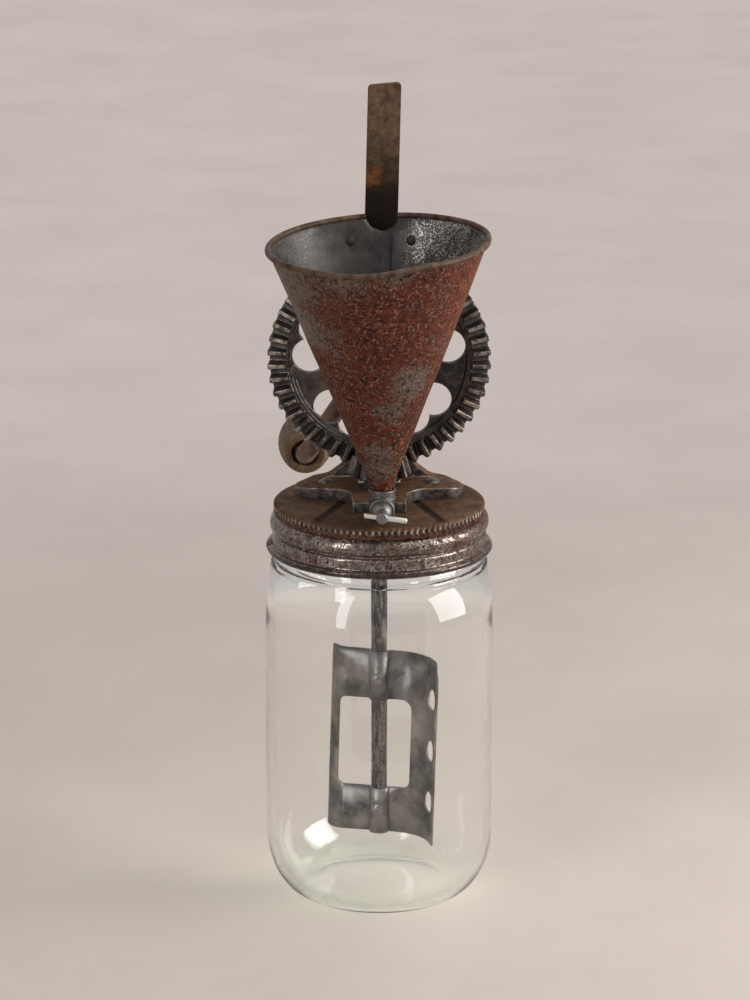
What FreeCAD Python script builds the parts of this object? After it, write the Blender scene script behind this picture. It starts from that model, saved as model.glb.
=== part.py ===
"""Hand-cranked jar mixer with an oil funnel.

A glass jar carries a screw lid.  On the lid stands a cast frame with a crank-driven
bevel gear, a pinion and a paddle beater, and in front of it a sheet-metal funnel that
drips through a small stopcock into the jar.

Millimetres, +Z up.  The origin is the centre of the jar's base, -Y is the front (the
funnel side) and the crank is at the back.
"""
import FreeCAD
import Part
import os
from math import acos, asin, atan, cos, degrees, pi, radians, sin, tan

V = FreeCAD.Vector
X_AXIS = V(1, 0, 0)
Y_AXIS = V(0, 1, 0)
Z_AXIS = V(0, 0, 1)
ORIGIN = V(0, 0, 0)

# Jar
jar_radius = 43.3
jar_wall = 3.2
jar_floor = 6.5
jar_heel_radius = 15.0
jar_push_up = 2.2
jar_foot_width = 4.0
jar_body_height = 104.0
jar_shoulder_height = 28.5
jar_shoulder_drop = 2.6
neck_crease = 0.7
neck_height = 3.6
finish_height = 16.6
finish_radius = 37.6
finish_bead = 1.2
finish_bead_drop = 7.0
mouth_radius = 33.8
lip_radius = 0.9

# Lid
lid_sheet = 0.6
lid_clearance = 0.5
lid_height = 19.0
lid_corner = 1.6
lid_band_height = 5.2
lid_bead_height = 5.7
lid_bead_rise = 1.4
lid_curl_rise = 3.1
lid_curl_height = 2.6
lid_curl_lip = 0.3
lid_groove = 0.5
lid_skirt_step = 0.6
lid_step_height = 1.6
gasket_thickness = 1.5
gasket_inset = 0.3

# Frame casting
base_thickness = 4.5
base_centre_radius = 15.0
lobe_reach = 32.0
lobe_radius = 8.0
lobe_set_back = 9.0
front_arm_width = 20.0
front_arm_reach = 19.0
foot_half_width = 24.0
post_thickness = 6.0
post_gap = 0.6
post_waist = 9.0
post_waist_rise = 16.0
boss_radius = 11.0
boss_proud = 1.0
tongue_width = 15.0
tongue_rise = 38.0
frame_rivet_x = 20.0
frame_rivet_radius = 1.6
frame_rivet_head = 3.0

# Bevel gears
module = 1.745
gear_teeth = 48
pinion_teeth = 12
face_width = 7.0
pressure_angle = 20.0
gear_addendum = 0.70
gear_dedendum = 1.25
pinion_addendum = 0.95
pinion_dedendum = 0.95
tooth_backlash = 0.18
rim_depth = 2.6
rim_inner_radius = 33.4
web_thickness = 2.6
gear_hub_radius = 9.0
gear_hub_length = 9.0
gear_openings = 5
opening_first_angle = 22.0
opening_spread = 12.0
opening_radius = 6.6
opening_circle = 26.3
gear_pin_radius = 1.25
gear_pin_proud = 1.0
web_recess = 0.4
web_fillet = 1.0
hub_chamfer = 1.0
hub_flare = 1.5

# Pinion hub and beater shaft
pinion_hub_radius = 6.2
pinion_hub_height = 5.2
pinion_back_bevel = 0.6
pinion_pin_radius = 1.5
pinion_pin_rise = 2.1
pinion_pin_length = 15.6
hub_gap = 0.3
shaft_radius = 3.0
shaft_fit = 0.06
shaft_top_proud = 1.6
shaft_tail = 1.0
shaft_chamfer = 0.6
bush_radius = 5.0
bush_tail = 4.5
collar_radius = 6.5
collar_height = 5.0

# Paddle
paddle_sheet = 1.0
paddle_bottom = 23.0
paddle_height = 72.6
paddle_turn = 12.0
paddle_flat = 13.0
paddle_bend_radius = 5.0
right_wing_bend = 60.0
right_wing_length = 13.0
left_wing_bend = 45.0
left_wing_length = 6.0
window_bottom_band = 18.2
window_height = 35.6
window_corner = 3.0
window_edge = 1.0
window_left_extra = 2.0
wing_hole_radius = 4.0
wing_hole_count = 3
wing_hole_pitch = 20.5
paddle_rivet_radius = 1.2
paddle_rivet_head = 2.3
paddle_rivet_inset = 10.0

# Crank
rod_radius = 3.7
rod_fit = 0.06
rod_bend_radius = 6.0
crank_radius = 56.5
crank_angle = 239.2
crank_clearance = 2.5
washer_thickness = 0.8
washer_width = 3.2
axial_play = 0.15
axle_nose = 1.2

# Knob
knob_length = 38.0
knob_end_radius = 8.2
knob_belly_radius = 10.9
knob_tail_radius = 7.0
knob_counterbore = 5.2
knob_counterbore_depth = 4.0
knob_front_bevel = 0.6
knob_tail_bevel = 1.0

# Handle strap
strap_width = 12.4
strap_thickness = 2.2
strap_length = 92.0
strap_top_skew = 1.4
strap_lean = 1.4
strap_corner = 1.6
strap_rivet_radius = 1.8
strap_rivet_head = 3.4
strap_rivet_pitch = 13.0

# Funnel and stopcock
valve_x = 1.0
valve_reach = 27.0
valve_tube_radius = 4.8
valve_tube_height = 11.8
valve_socket_radius = 4.4
valve_socket_depth = 4.0
valve_boss_radius = 4.6
valve_boss_reach = 7.0
valve_tail_boss = 5.4
valve_axis_rise = 5.0
drip_radius = 1.3
drip_tail_radius = 2.6
drip_tail_length = 6.0
plug_radius = 2.5
plug_fit = 0.06
plug_nose_radius = 3.7
plug_nose_length = 3.6
plug_stem_radius = 2.2
plug_stem_length = 6.6
plug_stem_bevel = 0.5
tee_radius = 1.05
tee_length = 16.0
tee_turn = 8.0
tee_offset = 1.3
funnel_sheet = 0.6
funnel_neck_radius = 3.9
funnel_neck_length = 4.2
funnel_tip_gap = 0.6
funnel_height = 97.2
funnel_rim_radius = 40.2
funnel_wire_radius = 1.2
funnel_forward_tilt = 2.6
funnel_side_tilt = 0.85
rim_side_tilt = 2.2
notch_radius = 6.3
bracket_sheet = 1.2
bracket_height = 6.5
bracket_drop = 11.5
bracket_gap = 0.6
bracket_ear = 7.0
funnel_rivet_radius = 1.1
funnel_rivet_head = 2.0


def crank_corners(first_bend_y, last_corner_y):
    """Depth of the arm's inner corner, the arm's slant and the length that each bend takes up."""
    slant = 0.0
    for _ in range(40):
        run = rod_bend_radius * tan((pi / 2 - slant) / 2)
        slant = atan((last_corner_y - first_bend_y - run) / crank_radius)
    return first_bend_y + run, slant, run


# Levels and places worked out from the sizes above
neck_z = jar_body_height + jar_shoulder_height
finish_base_z = neck_z + neck_crease + neck_height
finish_top_z = finish_base_z + finish_height
deck_z = finish_top_z + gasket_thickness + lid_sheet
base_top_z = deck_z + base_thickness
lid_wall_radius = finish_radius + finish_bead + lid_clearance + lid_sheet

gear_pitch_radius = module * gear_teeth / 2
pinion_pitch_radius = module * pinion_teeth / 2
gear_cone = degrees(atan(gear_teeth / pinion_teeth))
pinion_cone = 90.0 - gear_cone
cone_length = (gear_pitch_radius ** 2 + pinion_pitch_radius ** 2) ** 0.5
axis_z = base_top_z + hub_gap + pinion_hub_height + gear_pitch_radius
apex = V(0, 0, axis_z)

gear_back_y = pinion_pitch_radius + gear_dedendum * module + rim_depth
post_front_y = gear_back_y + post_gap
post_back_y = post_front_y + post_thickness
boss_back_y = post_back_y + boss_proud
washer_y = boss_back_y + axial_play
bend_y = washer_y + washer_thickness + axial_play
arm_end_y = lid_wall_radius + lid_curl_rise + rod_radius + crank_clearance
arm_start_y, arm_slant, bend_run = crank_corners(bend_y, arm_end_y)
knob_front_y = arm_end_y + bend_run
knob_back_y = knob_front_y + knob_length
strap_back_y = post_front_y + strap_thickness
tongue_top_z = axis_z + tongue_rise
strap_pivot = V(0, 0, tongue_top_z - strap_rivet_pitch - strap_rivet_head)

valve_y = -valve_reach
valve_axis_z = deck_z + valve_axis_rise
valve_top_z = deck_z + valve_tube_height
valve_tip = V(valve_x, valve_y, valve_top_z - valve_socket_depth + funnel_tip_gap)
rotation_funnel = FreeCAD.Rotation(X_AXIS, funnel_forward_tilt).multiply(
    FreeCAD.Rotation(Y_AXIS, -funnel_side_tilt))
funnel_place = FreeCAD.Placement(valve_tip, rotation_funnel)


def circle_point(radius, angle, centre=(0.0, 0.0)):
    """Point on a circle, with the angle in degrees."""
    return (centre[0] + radius * cos(radians(angle)), centre[1] + radius * sin(radians(angle)))


def profile_wire(start, steps):
    """Closed wire in the XZ plane; a step is a point, or a pair (through, end) for an arc."""
    edges = []
    here = V(start[0], 0, start[1])
    for step in list(steps) + [start]:
        if isinstance(step[0], tuple):
            through = V(step[0][0], 0, step[0][1])
            there = V(step[1][0], 0, step[1][1])
            edges.append(Part.Arc(here, through, there).toShape())
        else:
            there = V(step[0], 0, step[1])
            if here.distanceToPoint(there) < 1e-6:
                continue
            edges.append(Part.LineSegment(here, there).toShape())
        here = there
    return Part.Wire(edges)


def turned(start, steps):
    """Solid of revolution about Z of a closed profile of (radius, height) points."""
    return Part.Face(profile_wire(start, steps)).revolve(ORIGIN, Z_AXIS, 360)


def plate(start, steps, y_front, y_back):
    """Plate with an outline in the XZ plane, between two depths."""
    face = Part.Face(profile_wire(start, steps))
    face.translate(V(0, y_front, 0))
    return face.extrude(V(0, y_back - y_front, 0))


def rod(radius, start, end):
    """Plain round bar between two points."""
    along = end.sub(start)
    return Part.makeCylinder(radius, along.Length, start, along)


def tube(outer, inner, start, end):
    """Round tube between two points."""
    return rod(outer, start, end).cut(rod(inner, start, end))


def box(x_low, x_high, y_low, y_high, z_low, z_high):
    return Part.makeBox(x_high - x_low, y_high - y_low, z_high - z_low, V(x_low, y_low, z_low))


def fused(first, *others):
    return first.multiFuse(list(others)).removeSplitter()


def round_head(radius, height, seat, direction):
    """Domed rivet head that stands on a point."""
    ball = (radius ** 2 + height ** 2) / (2 * height)
    half_angle = asin(radius / ball) / 2
    dome_mid = (ball * sin(half_angle), height - ball + ball * cos(half_angle))
    dome = turned((0, 0), [(radius, 0), (dome_mid, (0, height))])
    dome.Placement = FreeCAD.Placement(seat, FreeCAD.Rotation(Z_AXIS, direction))
    return dome


def export(name, shape):
    shape.exportStep(os.path.join("parts", name + ".step"))


def glass_jar():
    """Jar with a pushed-up base, rounded heel and shoulder, and a beaded finish."""
    foot_radius = jar_radius - jar_heel_radius
    heel_mid = circle_point(jar_heel_radius, -45, (foot_radius, jar_heel_radius))
    shoulder_radius = jar_radius - jar_shoulder_drop
    shoulder_mid = (jar_radius - 0.2 * jar_shoulder_drop, jar_body_height + 0.5 * jar_shoulder_height)
    neck_radius = shoulder_radius - neck_crease
    bead_z = finish_top_z - finish_bead_drop
    lip_mid = circle_point(lip_radius, 45, (finish_radius - lip_radius, finish_top_z - lip_radius))
    inner_lip = circle_point(lip_radius, 135, (mouth_radius + lip_radius, finish_top_z - lip_radius))
    inner_radius = jar_radius - jar_wall
    inner_heel = jar_heel_radius - jar_wall
    inner_heel_mid = circle_point(inner_heel, -45, (inner_radius - inner_heel, jar_floor + inner_heel))
    throat_z = neck_z + neck_crease
    shelf_z = jar_body_height + 0.35 * jar_shoulder_height
    throat_mid = (inner_radius - 0.25 * (inner_radius - mouth_radius),
                  throat_z - 0.45 * (throat_z - shelf_z))
    outside = [
        (foot_radius - jar_foot_width, jar_push_up),
        (foot_radius - 0.3 * jar_foot_width, 0),
        (foot_radius, 0),
        (heel_mid, (jar_radius, jar_heel_radius)),
        (jar_radius, jar_body_height),
        (shoulder_mid, (shoulder_radius, neck_z)),
        (neck_radius, neck_z + neck_crease),
        (neck_radius, finish_base_z - neck_crease),
        (finish_radius, finish_base_z + 2 * neck_crease),
        (finish_radius, bead_z - 1.5 * finish_bead),
        ((finish_radius + finish_bead, bead_z), (finish_radius, bead_z + 1.5 * finish_bead)),
        (finish_radius, finish_top_z - lip_radius),
        (lip_mid, (finish_radius - lip_radius, finish_top_z)),
    ]
    inside = [
        (mouth_radius + lip_radius, finish_top_z),
        (inner_lip, (mouth_radius, finish_top_z - lip_radius)),
        (mouth_radius, throat_z),
        (throat_mid, (inner_radius, shelf_z)),
        (inner_radius, jar_floor + inner_heel),
        (inner_heel_mid, (inner_radius - inner_heel, jar_floor)),
        (0, jar_floor),
    ]
    return turned((0, jar_push_up), outside + inside)


def lid_steps(wall, deck, curl):
    """Skirt outline from the deck's edge down to the curl, for one face of the sheet."""
    band_z = deck_z - lid_band_height
    bead_z = band_z - lid_bead_height
    corner = circle_point(lid_corner, 45, (wall - lid_corner, deck - lid_corner))
    return [
        (wall - lid_corner, deck),
        (corner, (wall, deck - lid_corner)),
        (wall, band_z + lid_groove),
        (wall - lid_groove, band_z),
        ((wall + lid_bead_rise, (band_z + bead_z) / 2), (wall - lid_groove, bead_z)),
        (wall + lid_skirt_step, bead_z - lid_step_height),
        (wall + lid_skirt_step, curl),
    ]


def jar_lid():
    """Pressed screw lid: flat deck, band, thread bead, plain skirt and curled rim."""
    curl_z = deck_z - lid_height
    curl_top = curl_z + lid_curl_height
    outer = lid_steps(lid_wall_radius, deck_z, curl_top)
    inner = lid_steps(lid_wall_radius - lid_sheet, deck_z - lid_sheet, curl_z + lid_curl_lip)
    curl_radius = lid_wall_radius + lid_curl_rise
    curl_mid = (curl_radius, (curl_z + curl_top) / 2)
    curl_foot = (lid_wall_radius + lid_skirt_step, curl_z)
    shell = turned((0, deck_z), outer + [(curl_mid, curl_foot)]
                   + backwards(inner) + [(0, deck_z - lid_sheet)])
    low = deck_z - lid_sheet
    drip = V(valve_x, valve_y, low)
    through = V(0, 0, lid_sheet)
    holes = [rod(bush_radius + lid_clearance, V(0, 0, low), V(0, 0, deck_z))]
    holes.append(rod(drip_tail_radius + lid_clearance, drip, drip.add(through)))
    for place in frame_rivet_places(low):
        holes.append(rod(frame_rivet_radius, place, place.add(through)))
    return shell.cut(Part.makeCompound(holes))


def backwards(steps):
    """The same line of points and arcs, walked from its end to its start."""
    ends = [step[1] if isinstance(step[0], tuple) else step for step in steps]
    back = [ends[-1]]
    for index in range(len(steps) - 1, 0, -1):
        step = steps[index]
        if isinstance(step[0], tuple):
            back.append((step[0], ends[index - 1]))
        else:
            back.append(ends[index - 1])
    return back


def lid_gasket():
    """Flat sealing ring between the lid's deck and the jar's lip."""
    low = V(0, 0, finish_top_z)
    high = V(0, 0, finish_top_z + gasket_thickness)
    outer = lid_wall_radius - lid_sheet - lid_corner - gasket_inset
    return tube(outer, mouth_radius + gasket_inset, low, high)


def frame_rivet_places(z):
    return [V(side * frame_rivet_x, lobe_set_back, z) for side in (-1, 1)]


def gear_frame():
    """Casting: spread base with two lobes and a front arm, gusseted post, bearing boss, tongue."""
    low = V(0, 0, deck_z)
    up = V(0, 0, base_thickness)
    base = rod(base_centre_radius, low, low.add(up))
    arms = []
    for side in (-1, 1):
        tip = V(side * (lobe_reach - lobe_radius), lobe_set_back, deck_z)
        arms.append(rod(lobe_radius, tip, tip.add(up)))
        arms.append(box(min(0, tip.x), max(0, tip.x), lobe_set_back - 0.8 * lobe_radius,
                        post_back_y, deck_z, base_top_z))
    arms.append(box(-front_arm_width / 2, front_arm_width / 2, -front_arm_reach, post_front_y,
                    deck_z, base_top_z))
    waist_z = base_top_z + post_waist_rise
    gusset_mid = (post_waist + 0.3 * (foot_half_width - post_waist), base_top_z + 0.28 * post_waist_rise)
    gusset_mirror = (-gusset_mid[0], gusset_mid[1])
    shoulder_z = axis_z + boss_radius
    half_tongue = tongue_width / 2
    cap_mid = (0, tongue_top_z)
    post = plate((foot_half_width, deck_z), [
        (foot_half_width, base_top_z),
        (gusset_mid, (post_waist, waist_z)),
        (post_waist, axis_z),
        (half_tongue, shoulder_z),
        (half_tongue, tongue_top_z - half_tongue),
        (cap_mid, (-half_tongue, tongue_top_z - half_tongue)),
        (-half_tongue, shoulder_z),
        (-post_waist, axis_z),
        (-post_waist, waist_z),
        (gusset_mirror, (-foot_half_width, base_top_z)),
        (-foot_half_width, deck_z)], post_front_y, post_back_y)
    boss = rod(boss_radius, V(0, post_front_y, axis_z), V(0, boss_back_y, axis_z))
    casting = fused(base, *arms, post, boss)
    cuts = [rod(bush_radius, low, low.add(up))]
    cuts.append(rod(rod_radius + rod_fit, V(0, post_front_y, axis_z), V(0, boss_back_y, axis_z)))
    for place in frame_rivet_places(deck_z):
        cuts.append(rod(frame_rivet_radius, place, place.add(up)))
    for place in strap_rivet_places():
        front = V(place.x, post_front_y, place.z)
        cuts.append(rod(strap_rivet_radius, front, front.add(V(0, post_thickness, 0))))
    seat_z = axis_z + boss_radius + rod_fit
    cuts.append(box(-tongue_width, tongue_width, post_front_y, strap_back_y, seat_z, tongue_top_z))
    return casting.cut(Part.makeCompound(cuts))


def frame_rivets():
    """Two rivets that hold the casting to the lid's deck."""
    rivets = []
    for place in frame_rivet_places(deck_z - lid_sheet):
        top = V(place.x, place.y, base_top_z)
        shank = rod(frame_rivet_radius, place, top)
        head = round_head(frame_rivet_head, 0.45 * frame_rivet_head, top, Z_AXIS)
        tail = round_head(frame_rivet_head, 0.3 * frame_rivet_head, place, V(0, 0, -1))
        rivets.append(fused(shank, head, tail))
    return Part.makeCompound(rivets)


def shaft_bush():
    """Bearing sleeve of the beater shaft, through the casting and the deck."""
    return tube(bush_radius, shaft_radius + shaft_fit, V(0, 0, deck_z - bush_tail), V(0, 0, base_top_z))


def strap_rivet_places():
    """Rivet centres on the leaning strap, in the plane of the post's face."""
    lean = V(sin(radians(strap_lean)), 0, cos(radians(strap_lean)))
    return [strap_pivot.add(lean * (step * strap_rivet_pitch)) for step in (0, 1)]


def handle_strap():
    """Upright flat strap with a slightly skewed top."""
    half = strap_width / 2
    low = axis_z + boss_radius + strap_corner
    high = low + strap_length
    outline = [(half, high), (-half, high - strap_top_skew), (-half, low)]
    strap = plate((half, low), outline, post_front_y, strap_back_y)
    corners = [edge for edge in strap.Edges if edge.BoundBox.YLength > strap_thickness / 2]
    strap = strap.makeFillet(strap_corner, corners)
    strap.rotate(strap_pivot, Y_AXIS, strap_lean)
    holes = []
    for place in strap_rivet_places():
        front = V(place.x, post_front_y, place.z)
        holes.append(rod(strap_rivet_radius, front, front.add(V(0, strap_thickness, 0))))
    return strap.cut(Part.makeCompound(holes))


def strap_rivets():
    """Two rivets through strap and tongue, flush in front where the gear passes."""
    rivets = []
    for place in strap_rivet_places():
        back = V(place.x, post_back_y, place.z)
        shank = rod(strap_rivet_radius, V(place.x, post_front_y, place.z), back)
        rivets.append(fused(shank, round_head(strap_rivet_head, 0.35 * strap_rivet_head, back, Y_AXIS)))
    return Part.makeCompound(rivets)


def rack_flank(addendum, dedendum, half_width):
    """Half widths (height above the pitch line, half width) of a straight-sided tooth."""
    slope = tan(radians(pressure_angle))
    return [(h, half_width - h * slope) for h in (-dedendum, addendum)]


def involute_flank(pitch_radius, addendum, dedendum, half_width):
    """The same for an involute tooth on a pitch circle, radial below the base circle."""
    base = pitch_radius * cos(radians(pressure_angle))

    def involute(radius):
        angle = acos(min(1.0, base / radius))
        return tan(angle) - angle

    rest = half_width / pitch_radius + involute(pitch_radius)
    top = pitch_radius + addendum
    bottom = pitch_radius - dedendum
    radii = [bottom, base, (base + pitch_radius) / 2, pitch_radius, (pitch_radius + top) / 2, top]
    flank = []
    for radius in radii:
        angle = rest - involute(max(radius, base))
        flank.append((radius * cos(angle) - pitch_radius, radius * sin(angle)))
    return flank


def bevel_teeth(count, cone, flank, first_angle):
    """Ring of bevel teeth on a cone that opens along +Z from its apex at the origin."""
    out = V(sin(radians(cone)), 0, cos(radians(cone)))
    height = V(cos(radians(cone)), 0, -sin(radians(cone)))
    wires = []
    for scale in (1.0, 1.0 - face_width / cone_length):
        points = [out * cone_length + height * h + V(0, w, 0) for h, w in flank]
        points += [out * cone_length + height * h - V(0, w, 0) for h, w in reversed(flank)]
        points = [point * scale for point in points]
        wires.append(Part.makePolygon(points + [points[0]]))
    tooth = Part.makeLoft(wires, True, True)
    teeth = []
    for index in range(count):
        copy = tooth.copy()
        copy.rotate(ORIGIN, Z_AXIS, first_angle + index * 360.0 / count)
        teeth.append(copy)
    return teeth


def cone_spot(cone, height, scale):
    """Radius and axial distance of a point at a height above the pitch cone."""
    radius = cone_length * sin(radians(cone)) + height * cos(radians(cone))
    depth = cone_length * cos(radians(cone)) - height * sin(radians(cone))
    return (radius * scale, depth * scale)


def place_gear(shape):
    """From the apex frame to the gear's place: its axis runs back along +Y."""
    shape.Placement = FreeCAD.Placement(apex, FreeCAD.Rotation(X_AXIS, -90))
    return shape


def drive_gear():
    """Crown-like bevel gear with a hub and five two-lobed openings in its web."""
    half_tooth = pi * module / 4 - tooth_backlash
    dedendum = gear_dedendum * module
    root = 1.25 * dedendum
    small = 1.0 - face_width / cone_length
    big_root = cone_spot(gear_cone, -dedendum, 1.0)
    small_root = cone_spot(gear_cone, -dedendum, small)
    bore = rod_radius
    web_back = gear_back_y - web_recess
    web_front = web_back - web_thickness
    hub_back = gear_back_y + 0.5 * post_gap
    hub_front = hub_back - gear_hub_length
    blank = turned((bore, hub_front), [
        (gear_hub_radius - hub_chamfer, hub_front),
        (gear_hub_radius, hub_front + hub_chamfer),
        (gear_hub_radius + hub_flare, web_front),
        (rim_inner_radius - web_fillet, web_front),
        (rim_inner_radius, small_root[1]),
        small_root,
        big_root,
        (big_root[0], gear_back_y),
        (rim_inner_radius, gear_back_y),
        (rim_inner_radius - web_fillet, web_back),
        (gear_hub_radius, web_back),
        (gear_hub_radius, hub_back),
        (bore, hub_back)])
    teeth = bevel_teeth(gear_teeth, gear_cone, rack_flank(gear_addendum * module, root, half_tooth),
                        90.0 + 180.0 / gear_teeth)
    lobes = []
    for index in range(gear_openings):
        for spread in (-opening_spread, opening_spread):
            angle = -(opening_first_angle + index * 360.0 / gear_openings + spread)
            x, y = circle_point(opening_circle, angle)
            lobes.append(rod(opening_radius, V(x, y, 0), V(x, y, gear_back_y)))
    gear = fused(blank, *teeth)
    for lobe in lobes:
        gear = gear.cut(lobe)
    gear = place_gear(gear)
    return gear.cut(gear_pin())


def gear_pin():
    """Cross pin through the gear's hub and the axle."""
    y = gear_back_y + 0.5 * post_gap - gear_hub_length + 2.2 * gear_pin_radius
    reach = gear_hub_radius + gear_pin_proud
    return rod(gear_pin_radius, V(-reach, y, axis_z), V(reach, y, axis_z))


def bevel_pinion():
    """Twelve-tooth bevel pinion with a plain hub below its teeth."""
    half_tooth = pi * module / 4 - tooth_backlash
    virtual_radius = pinion_pitch_radius / cos(radians(pinion_cone))
    dedendum = pinion_dedendum * module
    root = 1.2 * dedendum
    small = 1.0 - face_width / cone_length
    big_root = cone_spot(pinion_cone, -dedendum, 1.0)
    small_root = cone_spot(pinion_cone, -dedendum, small)
    hub_end = gear_pitch_radius + pinion_hub_height
    blank = turned((shaft_radius, small_root[1]), [
        small_root,
        big_root,
        (pinion_hub_radius, big_root[1] + pinion_back_bevel),
        (pinion_hub_radius, hub_end),
        (shaft_radius, hub_end)])
    flank = involute_flank(virtual_radius, pinion_addendum * module, root, half_tooth)
    pinion = fused(blank, *bevel_teeth(pinion_teeth, pinion_cone, flank, -90.0))
    pinion.Placement = FreeCAD.Placement(apex, FreeCAD.Rotation(X_AXIS, 180))
    return pinion.cut(pinion_pin())


def pinion_pin():
    """Pin through the pinion's hub and the shaft, with both ends proud."""
    z = base_top_z + hub_gap + pinion_pin_rise
    half = pinion_pin_length / 2
    return rod(pinion_pin_radius, V(-half, 0, z), V(half, 0, z))


def beater_shaft():
    """Round shaft from the pinion down to the paddle's lower band."""
    top = axis_z - gear_pitch_radius * (1.0 - face_width / cone_length) + shaft_top_proud
    shaft = rod(shaft_radius, V(0, 0, paddle_bottom + shaft_tail), V(0, 0, top))
    rims = [edge for edge in shaft.Edges if edge.Closed]
    shaft = shaft.makeChamfer(shaft_chamfer, rims)
    return shaft.cut(pinion_pin()).cut(paddle_rivet_shanks())


def shaft_collar():
    """Stop collar below the bush that keeps the shaft from rising."""
    top = deck_z - bush_tail - hub_gap
    return tube(collar_radius, shaft_radius, V(0, 0, top - collar_height), V(0, 0, top))


def paddle_rivet_heights():
    return [paddle_bottom + paddle_rivet_inset, paddle_bottom + paddle_height - paddle_rivet_inset]


def paddle_front(z, distance):
    """Point in front of the paddle's channel, on the shaft's centre line."""
    angle = radians(-90.0 - paddle_turn)
    return V(distance * cos(angle), distance * sin(angle), z)


def paddle_rivet_shanks():
    shanks = []
    for z in paddle_rivet_heights():
        front = paddle_front(z, shaft_radius + paddle_sheet)
        shanks.append(rod(paddle_rivet_radius, front, paddle_front(z, -shaft_radius)))
    return Part.makeCompound(shanks)


def paddle_rivets():
    """Two rivets through the channel and the shaft."""
    reach = shaft_radius + paddle_sheet
    rivets = []
    for z in paddle_rivet_heights():
        front = paddle_front(z, reach)
        back = paddle_front(z, -shaft_radius)
        shank = rod(paddle_rivet_radius, front, back)
        head = round_head(paddle_rivet_head, 0.5 * paddle_rivet_head, front, front.sub(back))
        rivets.append(fused(shank, head))
    return Part.makeCompound(rivets)


def wing_outline(side, bend, length):
    """Half of the paddle's plan line: channel edge, flat, bend and wing, as (arc, end) steps."""
    sweep = radians(bend)
    centre = V(side * paddle_flat, -side * paddle_bend_radius, 0)
    mid = centre.add(V(side * sin(sweep / 2), side * cos(sweep / 2), 0) * paddle_bend_radius)
    end = centre.add(V(side * sin(sweep), side * cos(sweep), 0) * paddle_bend_radius)
    tip = end.add(V(side * cos(sweep), -side * sin(sweep), 0) * length)
    return mid, end, tip


def paddle():
    """Sheet paddle: pressed channel over the shaft, window, and two wings bent opposite ways."""
    channel = shaft_radius + paddle_sheet / 2
    right_mid, right_end, right_tip = wing_outline(1, right_wing_bend, right_wing_length)
    left_mid, left_end, left_tip = wing_outline(-1, left_wing_bend, left_wing_length)
    flat_right = V(paddle_flat, 0, 0)
    flat_left = V(-paddle_flat, 0, 0)
    line = Part.Wire([
        Part.LineSegment(left_tip, left_end).toShape(),
        Part.Arc(left_end, left_mid, flat_left).toShape(),
        Part.LineSegment(flat_left, V(-channel, 0, 0)).toShape(),
        Part.Arc(V(-channel, 0, 0), V(0, -channel, 0), V(channel, 0, 0)).toShape(),
        Part.LineSegment(V(channel, 0, 0), flat_right).toShape(),
        Part.Arc(flat_right, right_mid, right_end).toShape(),
        Part.LineSegment(right_end, right_tip).toShape()])
    halves = [line.makeOffset2D(side * paddle_sheet / 2, 0, True, True, False) for side in (-1, 1)]
    solids = [half.extrude(V(0, 0, paddle_height)) for half in halves]
    sheet = fused(*solids)
    reach = paddle_flat - window_edge
    window = box(-reach - window_left_extra, reach, -2 * shaft_radius, 2 * shaft_radius,
                 window_bottom_band, window_bottom_band + window_height)
    upright = [edge for edge in window.Edges if edge.BoundBox.YLength > shaft_radius]
    window = window.makeFillet(window_corner, upright)
    middle = (right_end + right_tip) * 0.5
    across = V(sin(radians(right_wing_bend)), cos(radians(right_wing_bend)), 0) * (4 * paddle_sheet)
    holes = [window]
    for index in range(wing_hole_count):
        z = paddle_height / 2 + (index - (wing_hole_count - 1) / 2) * wing_hole_pitch
        spot = V(middle.x, middle.y, z)
        holes.append(rod(wing_hole_radius, spot.sub(across), spot.add(across)))
    blade = sheet.cut(Part.makeCompound(holes))
    blade.rotate(ORIGIN, Z_AXIS, -paddle_turn)
    blade.translate(V(0, 0, paddle_bottom))
    return blade.cut(paddle_rivet_shanks())


def crank_out(radius, y):
    x, z = circle_point(radius, crank_angle, (0.0, axis_z))
    return V(x, y, z)


def crank_rod():
    """One bent bar: axle, arm and knob spindle."""
    nose_y = gear_back_y + 0.5 * post_gap - gear_hub_length - axle_nose
    along = bend_run * cos(arm_slant)
    aside = bend_run * sin(arm_slant)
    bulge = rod_bend_radius * (1.0 / cos((pi / 2 - arm_slant) / 2) - 1.0)
    halfway = (pi / 2 + arm_slant) / 2
    start = V(0, nose_y, axis_z)
    first = V(0, bend_y, axis_z)
    first_mid = crank_out(bulge * sin(halfway), arm_start_y - bulge * cos(halfway))
    arm_start = crank_out(along, arm_start_y + aside)
    arm_end = crank_out(crank_radius - along, arm_end_y - aside)
    second_mid = crank_out(crank_radius - bulge * sin(halfway), arm_end_y + bulge * cos(halfway))
    second = crank_out(crank_radius, knob_front_y)
    end = crank_out(crank_radius, knob_back_y + axial_play + 2 * washer_thickness)
    path = Part.Wire([
        Part.LineSegment(start, first).toShape(),
        Part.Arc(first, first_mid, arm_start).toShape(),
        Part.LineSegment(arm_start, arm_end).toShape(),
        Part.Arc(arm_end, second_mid, second).toShape(),
        Part.LineSegment(second, end).toShape()])
    section = Part.Wire([Part.makeCircle(rod_radius, start, Y_AXIS)])
    bar = path.makePipeShell([section], True, False)
    return bar.cut(gear_pin())


def axle_washer():
    """Thrust washer between the bearing boss and the crank's bend."""
    return tube(rod_radius + washer_width, rod_radius, V(0, washer_y, axis_z),
                V(0, washer_y + washer_thickness, axis_z))


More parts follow.
